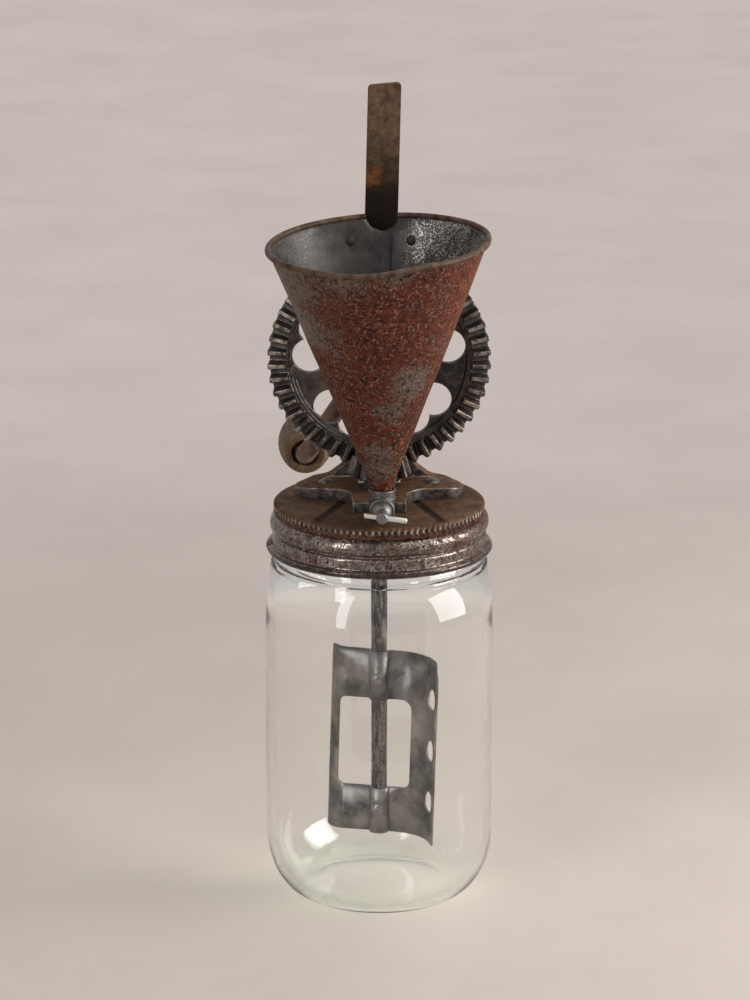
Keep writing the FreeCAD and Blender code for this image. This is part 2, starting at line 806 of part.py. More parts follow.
def crank_knob():
    """Turned wooden grip, free on its spindle."""
    bore = rod_radius + rod_fit
    belly = 0.45 * knob_length
    front = axial_play
    front_mid = (0.62 * knob_belly_radius + 0.38 * knob_end_radius, 0.2 * knob_length)
    tail_mid = (0.72 * knob_belly_radius + 0.28 * knob_tail_radius, 0.8 * knob_length)
    grip = turned((bore, knob_counterbore_depth), [
        (knob_counterbore, knob_counterbore_depth),
        (knob_counterbore, front),
        (knob_end_radius - knob_front_bevel, front),
        (knob_end_radius, front + knob_front_bevel),
        (front_mid, (knob_belly_radius, belly)),
        (tail_mid, (knob_tail_radius, knob_length - knob_tail_bevel)),
        (knob_tail_radius - knob_tail_bevel, knob_length),
        (bore, knob_length)])
    grip.Placement = FreeCAD.Placement(crank_out(crank_radius, knob_front_y), FreeCAD.Rotation(X_AXIS, -90))
    return grip


def spindle_washer():
    """Washer under the spindle's riveted end."""
    start = crank_out(crank_radius, knob_back_y + axial_play)
    return tube(rod_radius + 0.6 * washer_width, rod_radius, start, start.add(V(0, washer_thickness, 0)))


def in_funnel(shape):
    """Place a piece drawn about the funnel's own axis."""
    shape.Placement = funnel_place
    return shape


def rim_circle(radius):
    """Circle of the rim, whose plane tips sideways from the funnel's own axis."""
    ring = Part.Wire([Part.makeCircle(radius)])
    ring.Placement = FreeCAD.Placement(V(0, 0, funnel_height), FreeCAD.Rotation(Y_AXIS, -rim_side_tilt))
    return ring


def funnel_cone(grow):
    """Solid of the funnel's outside, grown by a wall thickness: straight neck and cone to the rim."""
    neck_top = V(0, 0, funnel_neck_length)
    neck = rod(funnel_neck_radius + grow, ORIGIN, neck_top)
    start = Part.Wire([Part.makeCircle(funnel_neck_radius + grow, neck_top)])
    return fused(neck, Part.makeLoft([start, rim_circle(funnel_rim_radius + grow)], True, True))


def rim_notch():
    """Half-round cutter in the back of the rim."""
    spot = V(0, 0, funnel_height + funnel_wire_radius)
    return rod(notch_radius, spot, spot.add(V(0, 2 * funnel_rim_radius, 0)))


def rim_ring():
    """Round of the rolled rim."""
    ring = Part.makeTorus(funnel_rim_radius, funnel_wire_radius)
    ring.Placement = FreeCAD.Placement(V(0, 0, funnel_height), FreeCAD.Rotation(Y_AXIS, -rim_side_tilt))
    return ring


def strap_at_bracket():
    """Middle of the strap's back face beside the bracket, in the funnel's own frame."""
    z = valve_tip.z + funnel_height - bracket_drop + bracket_height / 2
    x = strap_pivot.x + (z - strap_pivot.z) * tan(radians(strap_lean))
    return funnel_place.inverse().multVec(V(x, strap_back_y, z))


def funnel_rivet_spots():
    """Rivet centres on the funnel's outer wall, in the funnel's own frame, with the wall's normal."""
    z = funnel_height - bracket_drop + bracket_height / 2
    centre = strap_at_bracket().x
    half = strap_width / 2 + bracket_gap + bracket_sheet + bracket_ear / 2
    outside = funnel_cone(0.0)
    spots = []
    for side in (-1, 1):
        x = centre + side * half
        line = Part.LineSegment(V(x, 0, z), V(x, funnel_rim_radius, z)).toShape()
        spot = max(line.common(outside).Vertexes, key=lambda corner: corner.Y).Point
        wall = min(outside.Faces, key=lambda face: face.distToShape(Part.Vertex(spot))[0])
        spots.append((spot, wall.normalAt(*wall.Surface.parameter(spot))))
    return spots


def funnel():
    """Sheet cone with a straight neck, a notch in its rim and two rivet holes."""
    wall = funnel_cone(0.0).cut(funnel_cone(-funnel_sheet)).cut(rim_ring()).cut(rim_notch())
    for spot, normal in funnel_rivet_spots():
        depth = normal * (2 * funnel_sheet)
        wall = wall.cut(rod(funnel_rivet_radius, spot.sub(depth), spot.add(depth)))
    return in_funnel(wall)


def funnel_rim():
    """Rolled rim, open at the notch."""
    return in_funnel(rim_ring().cut(rim_notch()))


def funnel_rivets():
    """Two small rivets, with low heads inside the funnel."""
    rivets = []
    for spot, normal in funnel_rivet_spots():
        inner = spot.add(normal * -funnel_sheet)
        outer = spot.add(normal * bracket_sheet)
        shank = rod(funnel_rivet_radius, inner, outer)
        head = round_head(funnel_rivet_head, 0.45 * funnel_rivet_head, inner, normal * -1.0)
        tail = round_head(funnel_rivet_head, 0.35 * funnel_rivet_head, outer, normal)
        rivets.append(fused(shank, head, tail))
    return in_funnel(Part.makeCompound(rivets))


def funnel_bracket():
    """Sheet keeper riveted to the funnel's back, bent round the strap above the gear."""
    low = funnel_height - bracket_drop
    high = low + bracket_height
    strap = strap_at_bracket()
    inner = strap_width / 2 + bracket_gap
    outer = inner + bracket_sheet
    ear_end = outer + bracket_ear
    back = strap.y + bracket_gap
    reach = funnel_rim_radius
    shell = funnel_cone(bracket_sheet).cut(funnel_cone(0.0))
    ears = [shell.common(box(strap.x - ear_end, strap.x - inner, 0, reach, low, high)),
            shell.common(box(strap.x + inner, strap.x + ear_end, 0, reach, low, high))]
    arms = box(strap.x - outer, strap.x + outer, 0, back + bracket_sheet, low, high)
    arms = arms.cut(box(strap.x - inner, strap.x + inner, 0, back, low, high)).cut(funnel_cone(0.0))
    keeper = arms.multiFuse(ears)
    for spot, normal in funnel_rivet_spots():
        keeper = keeper.cut(rod(funnel_rivet_radius, spot, spot.add(normal * (2 * bracket_sheet))))
    return in_funnel(keeper)


def valve_body():
    """Stopcock body: funnel socket, cross boss for the plug and drip tail through the deck."""
    low = V(valve_x, valve_y, deck_z)
    top = V(valve_x, valve_y, valve_top_z)
    boss_front = V(valve_x, valve_y - valve_boss_reach, valve_axis_z)
    boss_back = V(valve_x, valve_y + valve_tail_boss, valve_axis_z)
    tail = V(valve_x, valve_y, deck_z - drip_tail_length)
    socket = V(valve_x, valve_y, valve_top_z - valve_socket_depth)
    body = fused(rod(valve_tube_radius, low, top),
                 rod(valve_boss_radius, boss_front, boss_back),
                 rod(drip_tail_radius, tail, low))
    body = body.cut(rod(valve_socket_radius, socket, top))
    body = body.cut(rod(drip_radius, tail, top))
    return body.cut(rod(plug_radius + plug_fit, boss_front, boss_back))


def valve_plug():
    """Turning plug with a cross port, a rounded nose and a stem for its handle."""
    front_y = valve_y - valve_boss_reach
    start = V(valve_x, valve_y + valve_tail_boss + washer_thickness, valve_axis_z)
    face = V(valve_x, front_y - axial_play, valve_axis_z)
    nose_mid = (0.85 * plug_nose_radius, 0.7 * plug_nose_length)
    stem_end = plug_nose_length + plug_stem_length
    nose = turned((0, 0), [
        (plug_nose_radius, 0),
        (nose_mid, (plug_stem_radius, plug_nose_length)),
        (plug_stem_radius, stem_end - plug_stem_bevel),
        (plug_stem_radius - plug_stem_bevel, stem_end),
        (0, stem_end)])
    nose.Placement = FreeCAD.Placement(face, FreeCAD.Rotation(X_AXIS, 90))
    port_low = V(valve_x, valve_y, valve_axis_z - plug_radius)
    port_high = V(valve_x, valve_y, valve_axis_z + plug_radius)
    plug = fused(rod(plug_radius, start, face), nose)
    return plug.cut(rod(drip_radius, port_low, port_high)).cut(valve_handle())


def valve_handle():
    """Cross bar through the plug's stem."""
    y = valve_y - valve_boss_reach - axial_play - plug_nose_length - plug_stem_length + 1.9 * tee_radius
    centre = V(valve_x, y, valve_axis_z)
    along = V(cos(radians(tee_turn)), 0, -sin(radians(tee_turn)))
    left = centre.add(along * (tee_offset - tee_length / 2))
    return rod(tee_radius, left, left.add(along * tee_length))


def plug_washer():
    """Washer riveted on the plug's back end."""
    start = V(valve_x, valve_y + valve_tail_boss + axial_play / 2, valve_axis_z)
    end = V(valve_x, valve_y + valve_tail_boss + washer_thickness, valve_axis_z)
    return tube(plug_radius + 0.4 * washer_width, plug_radius, start, end)


PIECES = (glass_jar, jar_lid, lid_gasket,
          gear_frame, frame_rivets, shaft_bush, handle_strap, strap_rivets,
          funnel, funnel_rim, funnel_bracket, funnel_rivets,
          valve_body, valve_plug, valve_handle, plug_washer,
          drive_gear, gear_pin, crank_rod, axle_washer, crank_knob, spindle_washer,
          bevel_pinion, pinion_pin, beater_shaft, shaft_collar, paddle, paddle_rivets)


def main():
    os.makedirs("parts", exist_ok=True)
    for piece in PIECES:
        shape = piece()
        export(piece.__name__, shape)
        print(piece.__name__, len(shape.Solids), "solids", round(shape.Volume, 1), "mm3", shape.isValid())


main()
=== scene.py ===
"""Looks of a hand-cranked jar mixer: glass jar, tin lid and funnel, iron drive and wooden grip."""
import math

import bmesh
import bpy
from mathutils import Matrix, Vector, noise


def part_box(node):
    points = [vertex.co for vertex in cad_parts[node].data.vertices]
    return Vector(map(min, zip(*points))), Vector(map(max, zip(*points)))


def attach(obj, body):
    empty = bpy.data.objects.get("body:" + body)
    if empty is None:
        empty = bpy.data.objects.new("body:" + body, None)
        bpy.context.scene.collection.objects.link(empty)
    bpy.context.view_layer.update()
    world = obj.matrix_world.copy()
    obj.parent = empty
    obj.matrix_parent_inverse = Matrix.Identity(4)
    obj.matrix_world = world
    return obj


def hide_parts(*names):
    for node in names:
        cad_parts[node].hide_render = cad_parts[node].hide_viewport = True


bl_info = {
    "name": "Jar mixer looks",
    "version": (1, 0, 0),
    "blender": (4, 5, 0),
    "location": "View3D > Sidebar > Mixer",
    "description": "Dresses the packed jar mixer with its glass, tin, iron and wood",
    "category": "Object",
}

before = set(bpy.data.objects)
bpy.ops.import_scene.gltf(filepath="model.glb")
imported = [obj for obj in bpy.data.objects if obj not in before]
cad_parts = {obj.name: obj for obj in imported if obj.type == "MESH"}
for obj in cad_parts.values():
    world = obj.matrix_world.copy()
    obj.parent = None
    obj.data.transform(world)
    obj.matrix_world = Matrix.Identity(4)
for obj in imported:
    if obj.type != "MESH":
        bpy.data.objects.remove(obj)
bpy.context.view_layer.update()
MM = 0.001
LID_LOW, LID_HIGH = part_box("jar_lid")
GEAR_LOW, GEAR_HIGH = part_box("drive_gear")
KNOB_LOW, KNOB_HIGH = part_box("crank_knob")
STRAP_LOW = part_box("handle_strap")[0]
BASE_LOW, BASE_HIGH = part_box("gear_frame")
GEAR_AXIS_Z = (GEAR_LOW.z + GEAR_HIGH.z) / 2
FUNNEL_TIP = Vector((1.0, -27.0, 163.9)) * MM
FUNNEL_TURN = Matrix.Rotation(math.radians(2.6), 4, "X") @ Matrix.Rotation(math.radians(-0.85), 4, "Y")
FUNNEL_PLACE = Matrix.Translation(FUNNEL_TIP) @ FUNNEL_TURN

# Pressed channels in the lid's deck, in mm from the lid's middle
GROOVE_LEAN = math.radians(19.0)
GROOVE_SIDE = 18.0
GROOVE_AHEAD = 15.0
GROOVE_HALF_LENGTH = 17.5

# Tones of wear and dirt, and some of painted shade and painted light; a pair is a dark and a light tone of
# one finish
ORANGE_RUST = (0.17, 0.062, 0.02)
# Orange-red of the painted rim light on the funnel's right flank
RUST_PAINTED_RIM_LIGHT = (0.21, 0.058, 0.018)
RUST_PITS = (0.014, 0.006, 0.004)
RUST_FLECKS = (0.32, 0.225, 0.185)
SLATE_TIN = ((0.035, 0.032, 0.031), (0.095, 0.089, 0.085))
PLATING = (0.62, 0.60, 0.54)
BLACKENED = (0.008, 0.007, 0.006)
BROWN_STAIN = (0.05, 0.026, 0.016)
RIM_RUST = ((0.035, 0.020, 0.013), (0.115, 0.070, 0.046))
RIM_RUBBED = (0.17, 0.14, 0.12)
LID_TIN = ((0.085, 0.066, 0.057), (0.40, 0.345, 0.312))
LID_RED = ((0.065, 0.026, 0.017), (0.17, 0.06, 0.04))
LID_PITS = (0.022, 0.014, 0.011)
DECK_FLECKS = (0.20, 0.125, 0.08)
KNURL = ((0.034, 0.020, 0.013), (0.50, 0.44, 0.38))
BAND_RED = ((0.05, 0.02, 0.014), (0.12, 0.05, 0.035))
CURL_DARK_AND_SHADE = (0.035, 0.026, 0.022)
# Near black of painted shade, on the strap's lower end by the funnel and in the lid's pressed channels
PAINTED_SHADE = (0.012, 0.008, 0.006)
IRON_DUST = (0.115, 0.082, 0.060)
STRAP_BROWN = ((0.070, 0.040, 0.024), (0.165, 0.100, 0.062))
STRAP_ORANGE = (0.16, 0.06, 0.02)
STRAP_EDGE = (0.24, 0.17, 0.12)
ROD_RUST = ((0.050, 0.024, 0.014), (0.150, 0.078, 0.048))
ROD_RUBBED = (0.25, 0.185, 0.145)
WOOD_GREY = (0.125, 0.098, 0.078)
WOOD_CRACKS = (0.03, 0.02, 0.014)
WOOD_TAN = ((0.085, 0.052, 0.026), (0.165, 0.106, 0.056))
SHAFT_STEEL = ((0.014, 0.012, 0.011), (0.160, 0.146, 0.132))
SEAL_RUBBER = ((0.11, 0.045, 0.03), (0.23, 0.12, 0.08))
HEEL_GLASS = (0.89, 0.94, 0.91)
SHADOW_GLASS = (0.90, 0.92, 0.90)

# Patches of bare tin on the funnel: middle and radius in mm
BARE_PATCHES = (
    ((-33, -46, 256), 34), ((-26, -44, 236), 22), ((11, -46, 214), 13), ((5, -42, 204), 10),
    ((0, -36, 186), 10), ((0, -33, 177), 8), ((-12, -66, 262), 17), ((4, -68, 262), 13),
    ((24, 0, 245), 24), ((-30, -14, 240), 20))


def length(name, description, size):
    """Setting for a length, given in mm."""
    return bpy.props.FloatProperty(name=name, description=description, default=size * MM, unit="LENGTH")


def tone(name, description, colour):
    """Setting for a colour."""
    return bpy.props.FloatVectorProperty(name=name, description=description, subtype="COLOR", default=colour)


class MixerSizes(bpy.types.PropertyGroup):
    """Sizes of the modelled details, in metres."""

    ridge_count: bpy.props.IntProperty(
        name="Lid ridges", description="Grip ridges round the lid's edge", default=104, min=40, max=160)
    ridge_depth: length("Ridge depth", "How far a lid ridge stands out", 0.45)
    thread_rise: length("Thread rise", "Rise of the lid's thread bead in one turn", 1.6)
    groove_depth: length("Groove depth", "Depth of the channels in the lid's deck", 0.55)
    dent_depth: length("Funnel dents", "Depth of the dents in the funnel's sheet", 0.35)
    seam_width: length("Seam width", "Width of the funnel's lap seam", 4.0)


class MixerColours(bpy.types.PropertyGroup):
    """Base colours of the finishes."""

    tin: tone("Tin", "Bare tinned sheet", (0.165, 0.132, 0.108))
    rust: tone("Rust", "Red-brown rust on the funnel", (0.085, 0.021, 0.010))
    brown: tone("Brown rust", "Dry brown rust on lid and casting", (0.105, 0.054, 0.028))
    iron: tone("Iron", "Dark cast iron", (0.040, 0.033, 0.029))
    worn: tone("Worn metal", "Bright metal on worn edges", (0.46, 0.40, 0.33))
    wood: tone("Wood", "Weathered wood of the grip", (0.105, 0.068, 0.043))
    glass: tone("Glass", "Tint of the jar's glass", (0.985, 0.993, 0.988))
    backdrop: tone("Backdrop", "Pale floor, also far behind", (0.56, 0.495, 0.455))


class Nodes:
    """Short ways to add nodes to a shader tree; an input is a constant, or a socket to link from."""

    def __init__(self, tree):
        self.tree = tree

    def add(self, kind, inputs=None, **settings):
        """One node of any kind."""
        made = self.tree.nodes.new(kind)
        for key, value in settings.items():
            setattr(made, key, value)
        for key, value in (inputs or {}).items():
            if isinstance(value, bpy.types.NodeSocket):
                self.tree.links.new(value, made.inputs[key])
            else:
                made.inputs[key].default_value = value
        return made

    def calc(self, operation, first, second=0.0, clamp=False):
        """One Math node."""
        return self.add("ShaderNodeMath", {0: first, 1: second}, operation=operation,
                        use_clamp=clamp).outputs["Value"]

    def times(self, first, second):
        return self.calc("MULTIPLY", first, second)

    def plus(self, first, second, clamp=False):
        return self.calc("ADD", first, second, clamp)

    def minus(self, first, second):
        return self.calc("SUBTRACT", first, second)

    def size(self, value):
        """Value without its sign."""
        return self.calc("ABSOLUTE", value)

    def reach(self, first, second):
        """Length of a line from its two sides."""
        return self.calc("SQRT", self.plus(self.times(first, first), self.times(second, second)))

    def ramped(self, value, low, high, out_low=0.0, out_high=1.0):
        """Smooth step of a value between two limits."""
        return self.add("ShaderNodeMapRange", {
            "Value": value, "From Min": low, "From Max": high, "To Min": out_low, "To Max": out_high},
            interpolation_type="SMOOTHSTEP").outputs["Result"]

    def rays_seen(self):
        """1 for rays from the camera, from glossy surfaces and through glass, otherwise 0."""
        rays = self.add("ShaderNodeLightPath").outputs
        mirrored = self.plus(rays["Is Glossy Ray"], rays["Is Transmission Ray"])
        return self.plus(mirrored, rays["Is Camera Ray"], True)


class Finish(Nodes):
    """A material with one Principled shader, worked out from Object coordinates."""

    def __init__(self, name):
        self.material = bpy.data.materials.new(name)
        self.material.use_nodes = True
        super().__init__(self.material.node_tree)
        self.tree.nodes.clear()
        self.shader = self.add("ShaderNodeBsdfPrincipled")
        self.output = self.add("ShaderNodeOutputMaterial")
        self.show(self.shader.outputs["BSDF"])
        self.place = self.add("ShaderNodeTexCoord").outputs["Object"]

    def show(self, surface):
        """Make a shader the material's surface."""
        self.tree.links.new(surface, self.output.inputs["Surface"])

    def show_mix(self, amount, second):
        """Show the Principled shader, and a second one by an amount."""
        self.show(self.add("ShaderNodeMixShader", {
            0: amount, 1: self.shader.outputs["BSDF"], 2: second.outputs[0]}).outputs["Shader"])

    def feed(self, **sockets):
        """Link or set the shader's inputs by name, with spaces written as underscores."""
        for key, value in sockets.items():
            socket = self.shader.inputs[key.replace("_", " ")]
            if isinstance(value, bpy.types.NodeSocket):
                self.tree.links.new(value, socket)
            else:
                socket.default_value = value

    def parts(self, vector=None):
        """X, Y and Z of a vector, or of the place on the object."""
        return self.add("ShaderNodeSeparateXYZ", {"Vector": vector or self.place}).outputs[0:3]

    def normal(self):
        return self.add("ShaderNodeNewGeometry").outputs["Normal"]

    def stretched(self, *scale):
        """The place on the object, scaled along each axis."""
        return self.add("ShaderNodeMapping", {"Vector": self.place, "Scale": scale}).outputs["Vector"]

    def grain(self, scale, detail=6.0, roughness=0.6, distortion=0.0, place=None):
        """Cloudy noise, from 0 to 1."""
        return self.add("ShaderNodeTexNoise", {
            "Vector": place or self.place, "Scale": scale, "Detail": detail, "Roughness": roughness,
            "Distortion": distortion}).outputs["Fac"]

    def mixed(self, amount, first, second):
        """Mix of two colours, each a constant or a socket."""
        pair = [c if isinstance(c, bpy.types.NodeSocket) else (*c, 1.0) for c in (first, second)]
        return self.add("ShaderNodeMix", {0: amount, 6: pair[0], 7: pair[1]}, data_type="RGBA").outputs[2]

    def toned(self, value, low, high, colour, dark, light):
        """One colour, from a darker to a lighter tone between two limits of a value."""
        return self.mixed(self.ramped(value, low, high), Vector(colour) * dark, Vector(colour) * light)

    def blot(self, centre, radius):
        """Soft round patch about a point, in mm: 1 in its middle, 0 from its radius on."""
        gap = self.add("ShaderNodeVectorMath", {0: self.place, 1: Vector(centre) * MM}, operation="DISTANCE")
        return self.ramped(gap.outputs["Value"], radius * MM, 0.25 * radius * MM)

    def worn_edges(self, radius):
        """Mask of the worn edges, where the rounded normal leaves the flat one, and that rounded normal."""
        rounded = self.add("ShaderNodeBevel", {"Radius": radius}, samples=6).outputs["Normal"]
        match = self.add("ShaderNodeVectorMath", {0: rounded, 1: self.normal()}, operation="DOT_PRODUCT")
        edge = self.ramped(match.outputs["Value"], 0.985, 0.86)
        return self.times(edge, self.ramped(self.grain(420.0, 3.0), 0.36, 0.58)), rounded

    def roughened(self, height, strength, distance, normal=None):
        """Bump on the shader's normal, over a rounded normal where one is given."""
        inputs = {"Strength": strength, "Distance": distance, "Height": height}
        if normal is not None:
            inputs["Normal"] = normal
        self.feed(Normal=self.add("ShaderNodeBump", inputs).outputs["Normal"])


def rusted_tin(colours):
    """Outside of the funnel: red-brown rust over grey tin that shows through in patches."""
    mat = Finish("funnel_rusted_tin")
    clouds = mat.grain(60.0, 5.0, 0.62, 0.4)
    mottle = mat.grain(420.0, 6.0, 0.76)
    speck = mat.grain(1000.0, 4.0, 0.74)
    bare = mat.blot(*BARE_PATCHES[0])
    for centre, radius in BARE_PATCHES[1:]:
        bare = mat.calc("MAXIMUM", bare, mat.blot(centre, radius))
    cover = mat.plus(mat.times(clouds, 0.35), mat.times(mottle, 0.5))
    cover = mat.plus(cover, mat.times(speck, 0.45))
    cover = mat.minus(cover, mat.times(bare, 0.14))
    rust = mat.ramped(cover, 0.53, 0.61)
    tin = mat.toned(mottle, 0.35, 0.7, colours.tin, 0.6, 1.15)
    flecks = mat.ramped(mat.grain(800.0, 5.0, 0.75), 0.50, 0.60)
    tin = mat.mixed(mat.times(flecks, 0.75), tin, Vector(colours.rust) * 0.9)
    deep = mat.toned(mottle, 0.38, 0.66, colours.rust, 0.5, 1.5)
    orange = mat.times(mat.blot((-3, -62, 243), 12), mat.ramped(mottle, 0.45, 0.6))
    deep = mat.mixed(mat.times(orange, 0.4), deep, ORANGE_RUST)
    # Painted rim light: the cone's right flank is tinted bright orange-red, as the window lamp's light
    # grazing it
    flank = mat.times(mat.blot((44, -34, 244), 42), mat.ramped(mottle, 0.40, 0.58))
    deep = mat.mixed(mat.times(flank, 0.55), deep, RUST_PAINTED_RIM_LIGHT)
    pale = mat.ramped(mat.grain(900.0, 4.0, 0.72), 0.55, 0.65)
    dark = mat.ramped(mat.grain(480.0, 4.0, 0.7), 0.53, 0.63)
    whole = mat.mixed(rust, tin, deep)
    whole = mat.mixed(mat.times(dark, 0.9), whole, RUST_PITS)
    whole = mat.mixed(mat.times(pale, 0.62), whole, RUST_FLECKS)
    mat.feed(Base_Color=whole,
             Metallic=mat.ramped(rust, 0.1, 0.8, 0.55, 0.0), Roughness=mat.ramped(rust, 0.0, 1.0, 0.5, 0.7),
             Specular_IOR_Level=0.12)
    height = mat.plus(mat.times(mottle, rust), mat.times(speck, 0.5))
    mat.roughened(height, 0.6, 0.4 * MM)
    return mat.material


def dull_tin():
    """Inside of the funnel: dark slate tin with bright specks where the plating is left."""
    mat = Finish("funnel_inside_tin")
    clouds = mat.grain(60.0, 5.0)
    speck = mat.grain(1500.0, 5.0, 0.74)
    base = mat.mixed(mat.ramped(clouds, 0.35, 0.65), *SLATE_TIN)
    x, y, z = mat.parts()
    plated = mat.calc("MAXIMUM", mat.ramped(x, 6 * MM, 18 * MM), mat.ramped(x, -14 * MM, -30 * MM, 0.0, 0.16))
    bright = mat.times(mat.ramped(speck, 0.50, 0.62), mat.times(plated, mat.ramped(clouds, 0.3, 0.55)))
    base = mat.mixed(bright, base, PLATING)
    joint = mat.ramped(mat.size(mat.minus(x, 4.0 * MM)), 0.5 * MM, 0.1 * MM)
    joint = mat.times(joint, mat.ramped(y, -24.0 * MM, -18.0 * MM))
    base = mat.mixed(mat.times(joint, mat.ramped(clouds, 0.35, 0.6, 0.3, 0.8)), base, BLACKENED)
    drain = mat.ramped(z, 0.225, 0.185)
    base = mat.mixed(mat.times(drain, 0.75), base, BROWN_STAIN)
    mat.feed(Base_Color=base, Metallic=0.75, Roughness=mat.ramped(bright, 0.0, 1.0, 0.55, 0.35),
             Specular_IOR_Level=0.25)
    mat.roughened(speck, 0.25, 0.15 * MM)
    return mat.material


def rolled_tin():
    """Rolled rim: tan-brown rust with rubbed spots."""
    mat = Finish("rim_brown_tin")
    mottle = mat.grain(240.0, 6.0, 0.7)
    base = mat.mixed(mat.ramped(mottle, 0.35, 0.65), *RIM_RUST)
    rubbed = mat.ramped(mat.grain(90.0, 4.0), 0.55, 0.68)
    base = mat.mixed(mat.times(rubbed, 0.7), base, RIM_RUBBED)
    mat.feed(Base_Color=base, Metallic=mat.ramped(rubbed, 0.0, 1.0, 0.2, 0.7), Roughness=0.55,
             Specular_IOR_Level=0.2)
    mat.roughened(mottle, 0.3, 0.2 * MM)
    return mat.material


def lid_tin(colours, ridge_count):
    """Lid: brown rust on the deck, with painted shade in its pressed channels; pitted tin with red rust on
    the skirt, and a dark curled rim that is partly painted shade.
    """
    mat = Finish("lid_pitted_tin")
    x, y, z = mat.parts()
    clouds = mat.grain(70.0, 5.0, 0.6)
    mottle = mat.grain(330.0, 6.0, 0.7)
    speck = mat.grain(1300.0, 3.0, 0.65)
    deck = mat.ramped(z, LID_HIGH.z - 1.9 * MM, LID_HIGH.z - 0.7 * MM)
    tin = mat.mixed(mat.ramped(mottle, 0.34, 0.66), *LID_TIN)
    red = mat.plus(mat.times(clouds, 0.7), mat.times(mottle, 0.5))
    red = mat.plus(red, mat.times(mat.ramped(x, 0.0, 0.03), 0.07))
    red = mat.ramped(red, 0.63, 0.74)
    skirt = mat.mixed(red, tin, mat.mixed(mat.ramped(speck, 0.4, 0.6), *LID_RED))
    pits = mat.ramped(mat.plus(speck, mat.times(mottle, 0.55)), 0.80, 0.87)
    skirt = mat.mixed(mat.times(pits, 0.92), skirt, LID_PITS)
    top = mat.toned(mottle, 0.32, 0.68, colours.brown, 0.4, 1.35)
    top = mat.mixed(mat.times(mat.ramped(speck, 0.52, 0.64), 0.6), top, DECK_FLECKS)
    top = mat.mixed(mat.times(mat.ramped(clouds, 0.42, 0.62), 0.55), top, BROWN_STAIN)
    band = mat.ramped(z, LID_HIGH.z - 5.6 * MM, LID_HIGH.z - 4.6 * MM)
    turn = mat.times(mat.calc("ARCTAN2", x, mat.times(y, -1.0)), ridge_count)
    bright = mat.ramped(mat.grain(120.0, 3.0), 0.36, 0.60, 0.35, 1.0)
    ridge = mat.times(mat.ramped(mat.calc("COSINE", turn), 0.0, 0.8), bright)
    low_band = mat.ramped(z, LID_HIGH.z - 1.9 * MM, LID_HIGH.z - 3.1 * MM)
    knurl = mat.mixed(ridge, *KNURL)
    knurl = mat.mixed(low_band, knurl, mat.mixed(mat.ramped(mottle, 0.4, 0.6), *BAND_RED))
    skirt = mat.mixed(mat.times(band, 0.85), skirt, knurl)
    # Darker curled rim at the bottom, partly painted shade: the dark band also stands for the shade line
    # along the curl's top
    curl = mat.ramped(z, LID_LOW.z + 2.9 * MM, LID_LOW.z + 2.3 * MM)
    skirt = mat.mixed(mat.times(curl, 0.75), skirt, CURL_DARK_AND_SHADE)
    side = mat.minus(mat.size(x), GROOVE_SIDE * MM)
    ahead = mat.minus(mat.times(y, -1.0), GROOVE_AHEAD * MM)
    across = mat.minus(mat.times(side, math.cos(GROOVE_LEAN)), mat.times(ahead, math.sin(GROOVE_LEAN)))
    along = mat.plus(mat.times(ahead, math.cos(GROOVE_LEAN)), mat.times(side, math.sin(GROOVE_LEAN)))
    groove = mat.times(mat.ramped(mat.size(across), 2.0 * MM, 1.2 * MM),
                       mat.ramped(mat.size(along), GROOVE_HALF_LENGTH * MM, 16.0 * MM))
    # Painted shade: the pressed channels in the deck are painted near black, as the shade inside them
    top = mat.mixed(mat.times(groove, 0.85), top, PAINTED_SHADE)
    metal = mat.times(mat.ramped(red, 0.0, 1.0, 0.92, 0.15), mat.ramped(deck, 0.0, 1.0, 1.0, 0.12))
    rough = mat.plus(mat.ramped(red, 0.0, 1.0, 0.20, 0.5), mat.ramped(deck, 0.0, 1.0, 0.0, 0.34), True)
    mat.feed(Base_Color=mat.mixed(deck, skirt, top), Metallic=metal, Roughness=rough,
             Specular_IOR_Level=0.15)
    height = mat.minus(mat.times(mottle, 0.6), mat.times(pits, 0.7))
    mat.roughened(height, 0.35, 0.2 * MM)
    return mat.material


def drive_iron(name, colours, top_wear):
    """Gears: near-black iron, with tooth tops worn bright."""
    mat = Finish(name)
    x, y, z = mat.parts()
    side = mat.minus(z, GEAR_AXIS_Z)
    reach = mat.reach(x, side)
    slope = mat.calc("DIVIDE", y, reach)
    outside = mat.ramped(reach, 34.0 * MM, 35.0 * MM)
    crest = mat.times(mat.ramped(slope, 0.228, 0.2212), outside)
    patches = mat.ramped(mat.grain(420.0, 4.0), 0.40, 0.60)
    crest = mat.times(crest, patches)
    edge, rounded = mat.worn_edges(0.45 * MM)
    shine = mat.calc("MAXIMUM", mat.times(crest, top_wear), mat.times(edge, 0.9))
    mottle = mat.grain(300.0, 6.0, 0.7)
    clouds = mat.grain(60.0, 4.0)
    dark = mat.toned(mottle, 0.35, 0.68, colours.iron, 0.55, 2.1)
    dark = mat.mixed(mat.ramped(clouds, 0.5, 0.68), dark, IRON_DUST)
    mat.feed(Base_Color=mat.mixed(shine, dark, colours.worn),
             Metallic=mat.ramped(shine, 0.0, 0.5, 0.55, 1.0),
             Roughness=mat.ramped(shine, 0.0, 1.0, 0.48, 0.28))
    mat.roughened(mottle, 0.35, 0.25 * MM, rounded)
    return mat.material


